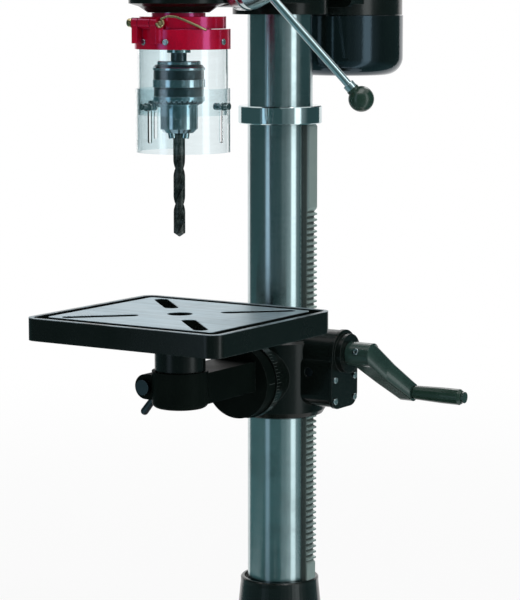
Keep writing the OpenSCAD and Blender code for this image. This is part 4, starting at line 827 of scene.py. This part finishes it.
class PRESS_OT_guard(PressOperator, Operator):
    """Paints the guard's collar and carrier, clears its shields and adds its spring and screws"""

    bl_idname = "press.guard"
    bl_label = "Chuck guard"

    # The guard's own frame: its turn round the spindle, the wall's middle and the hinge pin
    TURN = math.radians(-10)
    WALL_Y = 0.006
    PIN_Y = -0.045
    PIN_R = 0.0026

    # The spring's coils: where each starts and ends along the pin, and its first angle in degrees
    RIGHT_COIL = (0.0185, 0.0200, 180)
    LEFT_COIL = (-0.0182, -0.0200, 0)
    COIL_TURNS = 0.75
    COIL_STEPS = 12

    # Points of its legs: degrees round the wall, reach, and drop from the collar's top
    RIGHT_LEG = (
        (28, 0.0520, 0.0032),
        (36, 0.0500, 0.0035),
        (47, 0.0496, 0.0070),
        (58, 0.0496, 0.0112),
        (68, 0.0495, 0.0150),
        (72, 0.0488, 0.0162),
        (73, 0.0476, 0.0166),
    )
    LEFT_LEG = (
        (-30, 0.0505, 0.0110),
        (-34, 0.0496, 0.0150),
        (-36, 0.0480, 0.0165),
    )

    # Screws of the carrier: degrees round the wall, the wall's reach, and height above its foot
    SCREW_DEGREES = (-8, 24, 100)
    SCREW_REACH = 0.0483
    SCREW_RISE = 0.0075
    SCREW_H = 0.0018

    def execute(self, context):
        # The pink specular tint and raised IOR paint a pink highlight colour on the red
        red = enamel_finish(
            "guard_crimson", self.tone("crimson"), (0.42, 0.04, 0.09), gloss=(0.06, 0.11), rub=0.4,
            radius=0.0008, coat=0.0, shine=1.0, tint=(1.0, 0.25, 0.72), ior=1.75,
        )
        dress(red, "guard_collar", "guard_carrier")
        zinc = steel_finish(
            "zinc_plate", self.tone("zinc"), (0.44, 0.35, 0.18), (80.0, 80.0, 80.0), (0.2, 0.34),
        )
        dress(zinc, "guard_hinge_pin")
        screw = self.fitting_steel("screw_steel", (0.18, 0.3))
        dress(screw, "guard_wing_screws")
        dress(self.shield(), "guard_shield_upper", "guard_shield_lower")
        self.spring(zinc)
        self.screws(screw)
        return {"FINISHED"}

    def shield(self):
        """Clear plastic with fine wiping scratches."""
        material, n, bsdf = new_finish("clear_shield")
        haze = n.span(n.noise(n.stretch(n.place(), (30.0, 30.0, 220.0)), 1.0, 4.0, 0.7), (0.4, 0.8))
        tint = self.tone("shield")
        n.put(bsdf["Base Color"], n.mix(haze, tint, scaled(0.94, tint)))
        n.put(bsdf["Roughness"], n.times(haze, 0.09))
        set_plain(bsdf, Transmission_Weight=1.0, IOR=1.25)
        set_plain(bsdf, Coat_Weight=1.0, Coat_IOR=1.6, Coat_Roughness=0.05)
        return material

    def place(self, x, y, z):
        """Point of the guard's own frame."""
        cos = math.cos(self.TURN)
        sin = math.sin(self.TURN)
        return Vector((x * cos - y * sin + SPINDLE.x, x * sin + y * cos + SPINDLE.y, z))

    def round_guard(self, degrees, reach, z):
        """Point at an angle round the guard's wall, from its front towards its right."""
        t = math.radians(degrees)
        return self.place(reach * math.sin(t), self.WALL_Y - reach * math.cos(t), z)

    def coil(self, first, last, start):
        """Points of a coil on the hinge pin, between two places along it."""
        z = middle("guard_hinge_pin").z
        r = self.PIN_R + self.sizes.wire_r
        points = []
        for step in range(self.COIL_STEPS + 1):
            share = step / self.COIL_STEPS
            t = math.radians(start) + WHOLE_TURN * self.COIL_TURNS * share
            along = first + (last - first) * share
            points.append(self.place(along, self.PIN_Y + r * math.cos(t), z + r * math.sin(t)))
        return points

    def spring(self, zinc):
        """Torsion spring on the two ends of the hinge pin, with its legs on the carrier."""
        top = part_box("guard_collar")[1].z
        bm = bmesh.new()
        for coil, leg in ((self.RIGHT_COIL, self.RIGHT_LEG), (self.LEFT_COIL, self.LEFT_LEG)):
            points = [self.round_guard(degrees, reach, top - drop) for degrees, reach, drop in leg]
            placed(bm, wire(self.coil(*coil) + points, self.sizes.wire_r), Matrix())
        put_piece("guard_spring", bm, zinc, "guard")

    def screws(self, steel):
        """Pan-head screws round the carrier."""
        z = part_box("guard_carrier")[0].z + self.SCREW_RISE
        bm = bmesh.new()
        for degrees in self.SCREW_DEGREES:
            at = self.round_guard(degrees, self.SCREW_REACH, z)
            out = self.round_guard(degrees, 2 * self.SCREW_REACH, z) - at
            placed(bm, pan_screw(self.sizes.screw_r, self.SCREW_H), seated(at, out.normalized()))
        put_piece("guard_screws", bm, steel, "guard")


class PRESS_OT_feed_scale(PressOperator, Operator):
    """Marks the depth ring in millimetres of quill travel and sets a pointer on the head"""

    bl_idname = "press.feed_scale"
    bl_label = "Depth scale"

    # The feed's whole turn in degrees, the quill's travel over it, and how much of it is marked
    FEED_DEGREES = 407
    FEED_MM = 80
    MARKED_MM = 65
    FIGURE_EVERY = 10

    LONG_MARK = 0.0052
    SHORT_MARK = 0.0030
    MARK_WIDTH = 0.00045
    MARK_INSET = 0.0006
    MARK_SUNK = 0.00002
    FIGURE_SIZE = 0.0042
    FIGURE_INSET = 0.0024
    FIGURE_PROUD = 0.00003

    # The pointer: its foot on the head above the feed's axis, its upright and its pointed tongue
    FOOT = (0.016, 0.008, 0.0012)
    UPRIGHT = (0.0012, 0.008, 0.0052)
    FOOT_RISE = 0.0298
    SOFT = 0.0003
    TONGUE_R = 0.0046
    TONGUE_H = 0.0010
    TONGUE_GAP = 0.0006
    SCREW = (0.0028, 0.0016)
    SCREW_RISE = 0.0011

    def execute(self, context):
        ink = plastic_finish("scale_ink", (0.012, 0.012, 0.013), (0.4, 0.6))
        put_piece("depth_scale", self.scale(), ink, "feed")
        steel = self.fitting_steel("pointer_steel", (0.14, 0.26), (90.0, 40.0, 40.0))
        put_piece("depth_pointer", self.pointer(), steel, "frame")
        return {"FINISHED"}

    def scale(self):
        """Marks and figures round the depth ring."""
        low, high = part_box("depth_ring")
        r = (high.z - low.z) / 2
        axis = Matrix.Translation((0, FEED.y, FEED.z))
        bm = bmesh.new()
        for mm in range(0, self.MARKED_MM + 1, self.sizes.scale_step):
            turn = axis @ Matrix.Rotation(-mm * math.radians(self.FEED_DEGREES / self.FEED_MM), 4, "X")
            numbered = mm % self.FIGURE_EVERY == 0
            long = self.LONG_MARK if numbered else self.SHORT_MARK
            spot = Matrix.Translation((high.x - self.MARK_INSET - long / 2, 0, r - self.MARK_SUNK))
            placed(bm, block((long, self.MARK_WIDTH, self.sizes.mark_h)), turn @ spot)
            if numbered:
                spot = Matrix.Translation((low.x + self.FIGURE_INSET, 0, r + self.FIGURE_PROUD))
                upright = Matrix.Rotation(-math.pi / 2, 4, "Z")
                placed(bm, numeral(str(mm), self.FIGURE_SIZE), turn @ (spot @ upright))
        return bm

    def pointer(self):
        """Bent pointer with its screw, beside the depth ring."""
        low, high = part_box("depth_ring")
        seat = FEED.z + self.FOOT_RISE
        over_ring = FEED.z + (high.z - low.z) / 2 + self.TONGUE_GAP
        # Each part, how far it stands beside the ring, and its height
        parts = (
            (block(self.FOOT, self.SOFT), 0.0085, seat),
            (block(self.UPRIGHT, self.SOFT), 0.0009, seat),
            (self.tongue, 0.0014, over_ring),
            (pan_screw(*self.SCREW), 0.0095, seat + self.SCREW_RISE),
        )
        bm = bmesh.new()
        for make, beside, z in parts:
            placed(bm, make, Matrix.Translation((low.x - beside, FEED.y, z)))
        return bm

    def tongue(self, bm):
        """Pointed tongue over the ring's edge."""
        r = self.TONGUE_R
        h = self.TONGUE_H
        spot = Matrix.Translation((r, 0, h / 2))
        bmesh.ops.create_cone(bm, cap_ends=True, segments=3, radius1=r, radius2=r, depth=h, matrix=spot)
        bmesh.ops.scale(bm, vec=(1.2, 0.9, 1.0), verts=bm.verts)


class PRESS_OT_bracket_fittings(PressOperator, Operator):
    """Adds the gear cover's screws, the crank's set screw and the tilt scale"""

    bl_idname = "press.bracket_fittings"
    bl_label = "Bracket fittings"

    SCREW = (0.0036, 0.0022)

    # Places of the gear cover's screws: to either side of its middle, and above its foot
    COVER_SIDES = (-0.020, 0.020)
    COVER_RISES = (0.009, 0.032)

    # The crank's set screw: its tilt, its place along the hub, and its reach from the hub's axis
    SET_TILT = math.radians(20)
    SET_ALONG = 0.0135
    SET_REACH = 0.0124

    # Tilt scale: where its marks start, its last degree, its marks, and how deep they are set
    SCALE_FRONT = -0.0697
    SCALE_END = 45
    LONG_MARK = 0.0080
    SHORT_MARK = 0.0050
    MARK_WIDTH = 0.0006
    MARK_SUNK = 0.00003
    ZERO_MIDDLE = -0.0763
    ZERO_MARK = (0.0008, 0.010)

    def execute(self, context):
        steel = self.fitting_steel("fitting_steel", (0.18, 0.3))
        low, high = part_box("gear_cover")
        plate = high.x - self.sizes.cover_boss
        bm = bmesh.new()
        for y in self.COVER_SIDES:
            for rise in self.COVER_RISES:
                placed(bm, pan_screw(*self.SCREW), seated((plate - LET_IN, y, low.z + rise), (1, 0, 0)))
        put_piece("cover_screws", bm, steel, "bracket")
        worm = middle("worm_shaft")
        out = Vector((0, -math.cos(self.SET_TILT), math.sin(self.SET_TILT)))
        axis = Vector((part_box("crank_arm")[0].x + self.SET_ALONG, worm.y, worm.z))
        bm = bmesh.new()
        placed(bm, socket_screw(*self.SCREW), seated(axis + self.SET_REACH * out, out))
        put_piece("crank_set_screw", bm, steel, "crank")
        self.tilt_scale()
        return {"FINISHED"}

    def tilt_scale(self):
        """Degree marks on the bracket's flange and a zero mark on the arm's flange."""
        axis = Matrix.Translation((0, 0, middle("tilt_bolt").z))
        h = self.sizes.mark_h
        paint = enamel_finish("scale_relief", self.tone("enamel_worn"), (0.07, 0.08, 0.08))
        bm = bmesh.new()
        for degrees in range(-self.SCALE_END, self.SCALE_END + 1, 5):
            long = self.LONG_MARK if degrees % 15 == 0 else self.SHORT_MARK
            turn = axis @ Matrix.Rotation(math.radians(90 + degrees), 4, "Y")
            spot = (0, self.SCALE_FRONT + long / 2, self.sizes.flange_r - self.MARK_SUNK)
            placed(bm, block((self.MARK_WIDTH, long, h)), turn @ Matrix.Translation(spot))
        put_piece("tilt_scale", bm, paint, "bracket")
        bm = bmesh.new()
        turn = axis @ Matrix.Rotation(math.radians(90), 4, "Y")
        spot = (0, self.ZERO_MIDDLE, self.sizes.arm_flange_r - self.MARK_SUNK)
        placed(bm, block((*self.ZERO_MARK, h)), turn @ Matrix.Translation(spot))
        put_piece("tilt_zero", bm, paint, "arm")


class PRESS_OT_head_fittings(PressOperator, Operator):
    """Adds the switch's bezels and screws, and the screws and grille of the motor's fan cover"""

    bl_idname = "press.head_fittings"
    bl_label = "Head fittings"

    # A bezel's section: out from its inner edge, and up from the box
    BEZEL = (
        (0, -0.0002),
        (0, 0.0012),
        (0.0008, 0.0018),
        (0.0022, 0.0012),
        (0.0027, -0.0002),
        (0, -0.0002),
    )
    BEZEL_GAP = 0.0006

    # Places of the switch's screws: to either side of the middle, and in from the box's ends
    BOX_SIDES = (-0.023, 0.023)
    BOX_INSET = 0.007
    BOX_SCREW = (0.0030, 0.0016)

    # The fan cover's screws: degrees round it, and their drop from its top
    FAN_DEGREES = (60, 240)
    FAN_DROP = 0.010
    FAN_SCREW = (0.0036, 0.0020)

    # The grille: its rings as shares of the intake's radius, its height above the cover's lowest point,
    # how far its bars reach into the wall, and how many wire radii they lie above the rings
    GRILLE_RINGS = (0.32, 0.62, 0.92)
    GRILLE_RISE = 0.0015
    BAR_END = 0.001
    BAR_RISE = 1.6

    def execute(self, context):
        low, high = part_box("switch_box")
        ring = plastic_finish("bezel_plastic", (0.05, 0.052, 0.055), (0.25, 0.4))
        bm = bmesh.new()
        for button in ("start_button", "stop_button"):
            centre = middle(button)
            r = half_width(button) + self.BEZEL_GAP
            at = Matrix.Translation((centre.x, low.y, centre.z))
            placed(bm, lathe([(r + out, up) for out, up in self.BEZEL]), at @ FACING_FRONT)
        put_piece("switch_bezels", bm, ring, "frame")
        steel = self.fitting_steel("head_screw_steel", (0.2, 0.32))
        bm = bmesh.new()
        for x in self.BOX_SIDES:
            for z in (low.z + self.BOX_INSET, high.z - self.BOX_INSET):
                at = Matrix.Translation((x, low.y + LET_IN, z))
                placed(bm, pan_screw(*self.BOX_SCREW), at @ FACING_FRONT)
        put_piece("switch_screws", bm, steel, "frame")
        self.fan_cover_fittings(steel)
        return {"FINISHED"}

    def fan_cover_fittings(self, steel):
        """Screws round the fan cover and a wire grille across the air intake in its floor."""
        low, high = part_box("motor_fan_cover")
        centre = (low + high) / 2
        ring_of_screws = Vector((centre.x, centre.y, high.z - self.FAN_DROP))
        reach = half_width("motor_fan_cover") - LET_IN
        bm = bmesh.new()
        for degrees in self.FAN_DEGREES:
            t = math.radians(degrees)
            out = Vector((math.cos(t), math.sin(t), 0))
            placed(bm, pan_screw(*self.FAN_SCREW), seated(ring_of_screws + reach * out, out))
        put_piece("fan_cover_screws", bm, steel, "motor")
        centre = Vector((centre.x, centre.y, low.z + self.GRILLE_RISE))
        r = self.sizes.grille_wire_r
        reach = self.sizes.intake_r
        bm = bmesh.new()
        turns = [math.radians(30 * k) for k in range(13)]
        for share in self.GRILLE_RINGS:
            section = [(share * reach + r * math.cos(t), r * math.sin(t)) for t in turns]
            placed(bm, lathe(section), Matrix.Translation(centre))
        bar_centre = centre + Vector((0, 0, self.BAR_RISE * r))
        for degrees in range(0, 180, 45):
            out = Matrix.Rotation(math.radians(degrees), 3, "Z") @ Vector((reach + self.BAR_END, 0, 0))
            placed(bm, wire((bar_centre - out, bar_centre + out), r), Matrix())
        put_piece("fan_grille", bm, steel, "motor")


class PRESS_OT_plastics(PressOperator, Operator):
    """Finishes the balls, grips, knobs, switch box, buttons and belts"""

    bl_idname = "press.plastics"
    bl_label = "Plastics"

    def execute(self, context):
        tone = self.tone("plastic")
        moulded = plastic_finish("moulded_black", tone, (0.14, 0.26))
        dress(moulded, "feed_knobs", "crank_grip", "tension_knobs")
        box = plastic_finish("box_plastic", scaled(1.6, tone), (0.34, 0.5), 1100.0)
        dress(box, "switch_box", "cord_gland")
        dress(plastic_finish("start_green", (0.03, 0.26, 0.06)), "start_button")
        dress(plastic_finish("stop_red", (0.52, 0.015, 0.012)), "stop_button")
        dress(plastic_finish("belt_rubber", (0.016, 0.016, 0.016), (0.5, 0.75), 300.0), "drive_belts")
        return {"FINISHED"}


class PRESS_OT_stage(PressOperator, Operator):
    """Sets the floor, the light and the camera"""

    bl_idname = "press.stage"
    bl_label = "Stage"

    WHITE = (1, 1, 1, 1)
    PALE = (0.86, 0.86, 0.86, 1)
    FLOOR_HALF = 14
    CARD_STEPS = 56
    CARD_FOOT = 0.002
    CARD_INNER = 0.32
    LAMP_AIM = (0, -0.1, 0.5)

    def execute(self, context):
        scene = context.scene
        stage = scene.press_stage
        scene.view_settings.view_transform = "Standard"
        self.floor()
        self.world(scene)
        self.card_wall(stage)
        self.lamp("key_strip", azimuth=76, reach=1.5, size=(0.34, 1.7), height=0.95, power=9.0)
        self.lamp("fill_strip", azimuth=-13, reach=1.5, size=(0.42, 1.7), height=0.95, power=3.6)
        self.lamp("back_light", azimuth=200, reach=2.2, size=(1.4, 1.0), height=2.4, power=14.0, shown=True)
        self.lamp("top_light", azimuth=10, reach=0.5, size=(1.6, 1.6), height=2.6, power=18.0, shown=True)
        camera = bpy.data.cameras.new("photo_camera")
        camera.lens = stage.lens
        camera.sensor_width = 36
        camera.sensor_fit = "AUTO"
        camera.clip_end = 50
        holder = in_scene("photo_camera", camera)
        holder.location = stage.camera_at
        holder.rotation_euler = (math.pi / 2 - stage.camera_dip, 0, stage.camera_turn)
        scene.camera = holder
        return {"FINISHED"}

    def seen(self, n):
        """One for a ray that comes straight from the camera, a reflection or clear plastic."""
        path = n.add("LightPath").outputs
        return n.larger(n.larger(path["Is Camera Ray"], path["Is Glossy Ray"]), path["Is Transmission Ray"])

    def shine(self, n, tone, strength):
        """Emission of a colour."""
        return n.add("Emission", {"Color": tone, "Strength": strength}).outputs[0]

    def show(self, n, share, first, second):
        """Puts a mix of two shaders on the surface."""
        blend = n.add("MixShader", {0: share, 1: first, 2: second}).outputs[0]
        n.put(n.add("OutputMaterial").inputs["Surface"], blend)

    def floor(self):
        """Plain pale floor that keeps a soft shadow."""
        bm = bmesh.new()
        bmesh.ops.create_grid(bm, x_segments=4, y_segments=4, size=self.FLOOR_HALF)
        mesh = mesh_of(bm, "floor")
        floor = in_scene("floor", mesh)
        material = bpy.data.materials.new("pale_floor")
        n = emptied(material)
        pale = n.add("BsdfDiffuse", {"Color": self.PALE}).outputs[0]
        away = n.add("VectorMath", {0: n.place()}, operation="LENGTH").outputs["Value"]
        share = n.times(self.seen(n), n.span(away, (0.5, 2.2), (0.86, 1.0), smooth=True))
        self.show(n, share, pale, self.shine(n, self.WHITE, 1.0))
        mesh.materials.append(material)

    def world(self, scene):
        """Plain white surroundings."""
        world = bpy.data.worlds.new("studio")
        n = emptied(world)
        strength = n.span(self.seen(n), RISING, (0.45, 1.0))
        light = n.add("Background", {"Color": self.WHITE, "Strength": strength}).outputs[0]
        n.put(n.add("OutputWorld").inputs["Surface"], light)
        scene.world = world

    def card_wall(self, stage):
        """Dark card round the sides and front with two light strips on it, which only reflections see."""
        r = stage.card_r
        profile = ((self.CARD_INNER * r, self.CARD_FOOT), (r, self.CARD_FOOT), (r, stage.card_h))
        bm = bmesh.new()
        geom = line(bm, [(0, -reach, z) for reach, z in profile])
        first = Matrix.Rotation(stage.camera_turn - stage.card_sweep / 2, 3, "Z")
        bmesh.ops.rotate(bm, cent=ORIGIN, matrix=first, verts=bm.verts)
        bmesh.ops.spin(
            bm, geom=geom, cent=ORIGIN, axis=UP, angle=stage.card_sweep, steps=self.CARD_STEPS,
            use_merge=False,
        )
        mesh = mesh_of(bm, "card_wall")
        wall = in_scene("card_wall", mesh)
        mesh.materials.append(self.card_light(stage))
        for ray in ("camera", "diffuse", "shadow", "volume_scatter"):
            setattr(wall, "visible_" + ray, False)

    def card_light(self, stage):
        """Tone of the card and its strips; a ray that hasn't been reflected yet goes straight through."""
        material = bpy.data.materials.new("dark_card")
        n = emptied(material)
        x, y, z = n.parts(n.place())
        up = n.span(z, (0.05, 0.42), smooth=True)
        turn = n.math("ARCTAN2", x, n.times(y, -1.0))
        key = self.strip(n, turn, stage.key_turn, (6, 12), stage.key_glow)
        halo = self.strip(n, turn, stage.key_turn, (12, 34), 0.20)
        veil = self.strip(n, turn, stage.key_turn - math.radians(27), (13, 19), 0.09)
        fill = self.strip(n, turn, stage.fill_turn, (3, 12), stage.fill_glow)
        key = n.times(key, n.span(up, RISING, (0.62, 1.0)))
        fill = n.times(fill, n.span(up, RISING, (0.22, 1.0)))
        card = self.shine(n, (*stage.card, 1), n.span(up, RISING, (2.3, 1.0)))
        bright = self.shine(n, (0.93, 0.99, 1.0, 1), n.plus(n.plus(key, halo), veil))
        cool = self.shine(n, (0.66, 0.82, 1.0, 1), fill)
        strips = n.add("AddShader", {0: bright, 1: cool}).outputs[0]
        light = n.add("AddShader", {0: card, 1: strips}).outputs[0]
        reflected = n.math("GREATER_THAN", n.add("LightPath").outputs["Glossy Depth"], 0.5)
        self.show(n, reflected, n.add("BsdfTransparent").outputs[0], light)
        return material

    def strip(self, n, turn, centre, halves, strength):
        """Soft strip on the card: full within the first half-angle and gone at the second, in degrees."""
        off = n.math("ABSOLUTE", n.math("SUBTRACT", turn, centre))
        return n.span(off, [math.radians(half) for half in halves], (strength, 0.0), smooth=True)

    def lamp(self, name, azimuth, reach, size, height, power, shown=False):
        """Soft rectangular lamp that faces the press; azimuth 0 is in front of it and 90 on its right.

        One that is shown can be seen in reflections.
        """
        light = bpy.data.lights.new(name, "AREA")
        light.shape = "RECTANGLE"
        light.size, light.size_y = size
        light.energy = power
        lamp = in_scene(name, light)
        a = math.radians(azimuth)
        at = Vector((reach * math.sin(a), -reach * math.cos(a), height))
        lamp.location = at
        lamp.rotation_euler = (Vector(self.LAMP_AIM) - at).to_track_quat("-Z", "Y").to_euler()
        lamp.visible_camera = False
        lamp.visible_glossy = shown


OPERATORS = (
    PRESS_OT_stage,
    PRESS_OT_castings,
    PRESS_OT_table,
    PRESS_OT_bright_steel,
    PRESS_OT_chuck,
    PRESS_OT_guard,
    PRESS_OT_feed_scale,
    PRESS_OT_bracket_fittings,
    PRESS_OT_head_fittings,
    PRESS_OT_plastics,
)


class VIEW3D_PT_press(Panel):
    """Lists the press's pieces and finishes"""

    bl_label = "Drill press"
    bl_space_type = "VIEW_3D"
    bl_region_type = "UI"
    bl_category = "Drill press"

    def draw(self, context):
        for operator in OPERATORS:
            self.layout.operator(operator.bl_idname)
        for group in (context.scene.press_finishes, context.scene.press_sizes, context.scene.press_stage):
            box = self.layout.box()
            for key in group.__annotations__:
                box.prop(group, key)


GROUPS = {"press_finishes": PressFinishes, "press_sizes": PressSizes, "press_stage": PressStage}
CLASSES = (*GROUPS.values(), *OPERATORS, VIEW3D_PT_press)


def register():
    """Registers the classes and gives the scene its properties."""
    for cls in CLASSES:
        bpy.utils.register_class(cls)
    for name, group in GROUPS.items():
        setattr(bpy.types.Scene, name, PointerProperty(type=group))


def unregister():
    """Takes the properties and the classes away again."""
    for name in GROUPS:
        delattr(bpy.types.Scene, name)
    for cls in reversed(CLASSES):
        bpy.utils.unregister_class(cls)


def main():
    """Dresses the press."""
    register()
    for operator in OPERATORS:
        getattr(bpy.ops.press, operator.bl_idname.removeprefix("press."))()


if __name__ == "__main__":
    main()
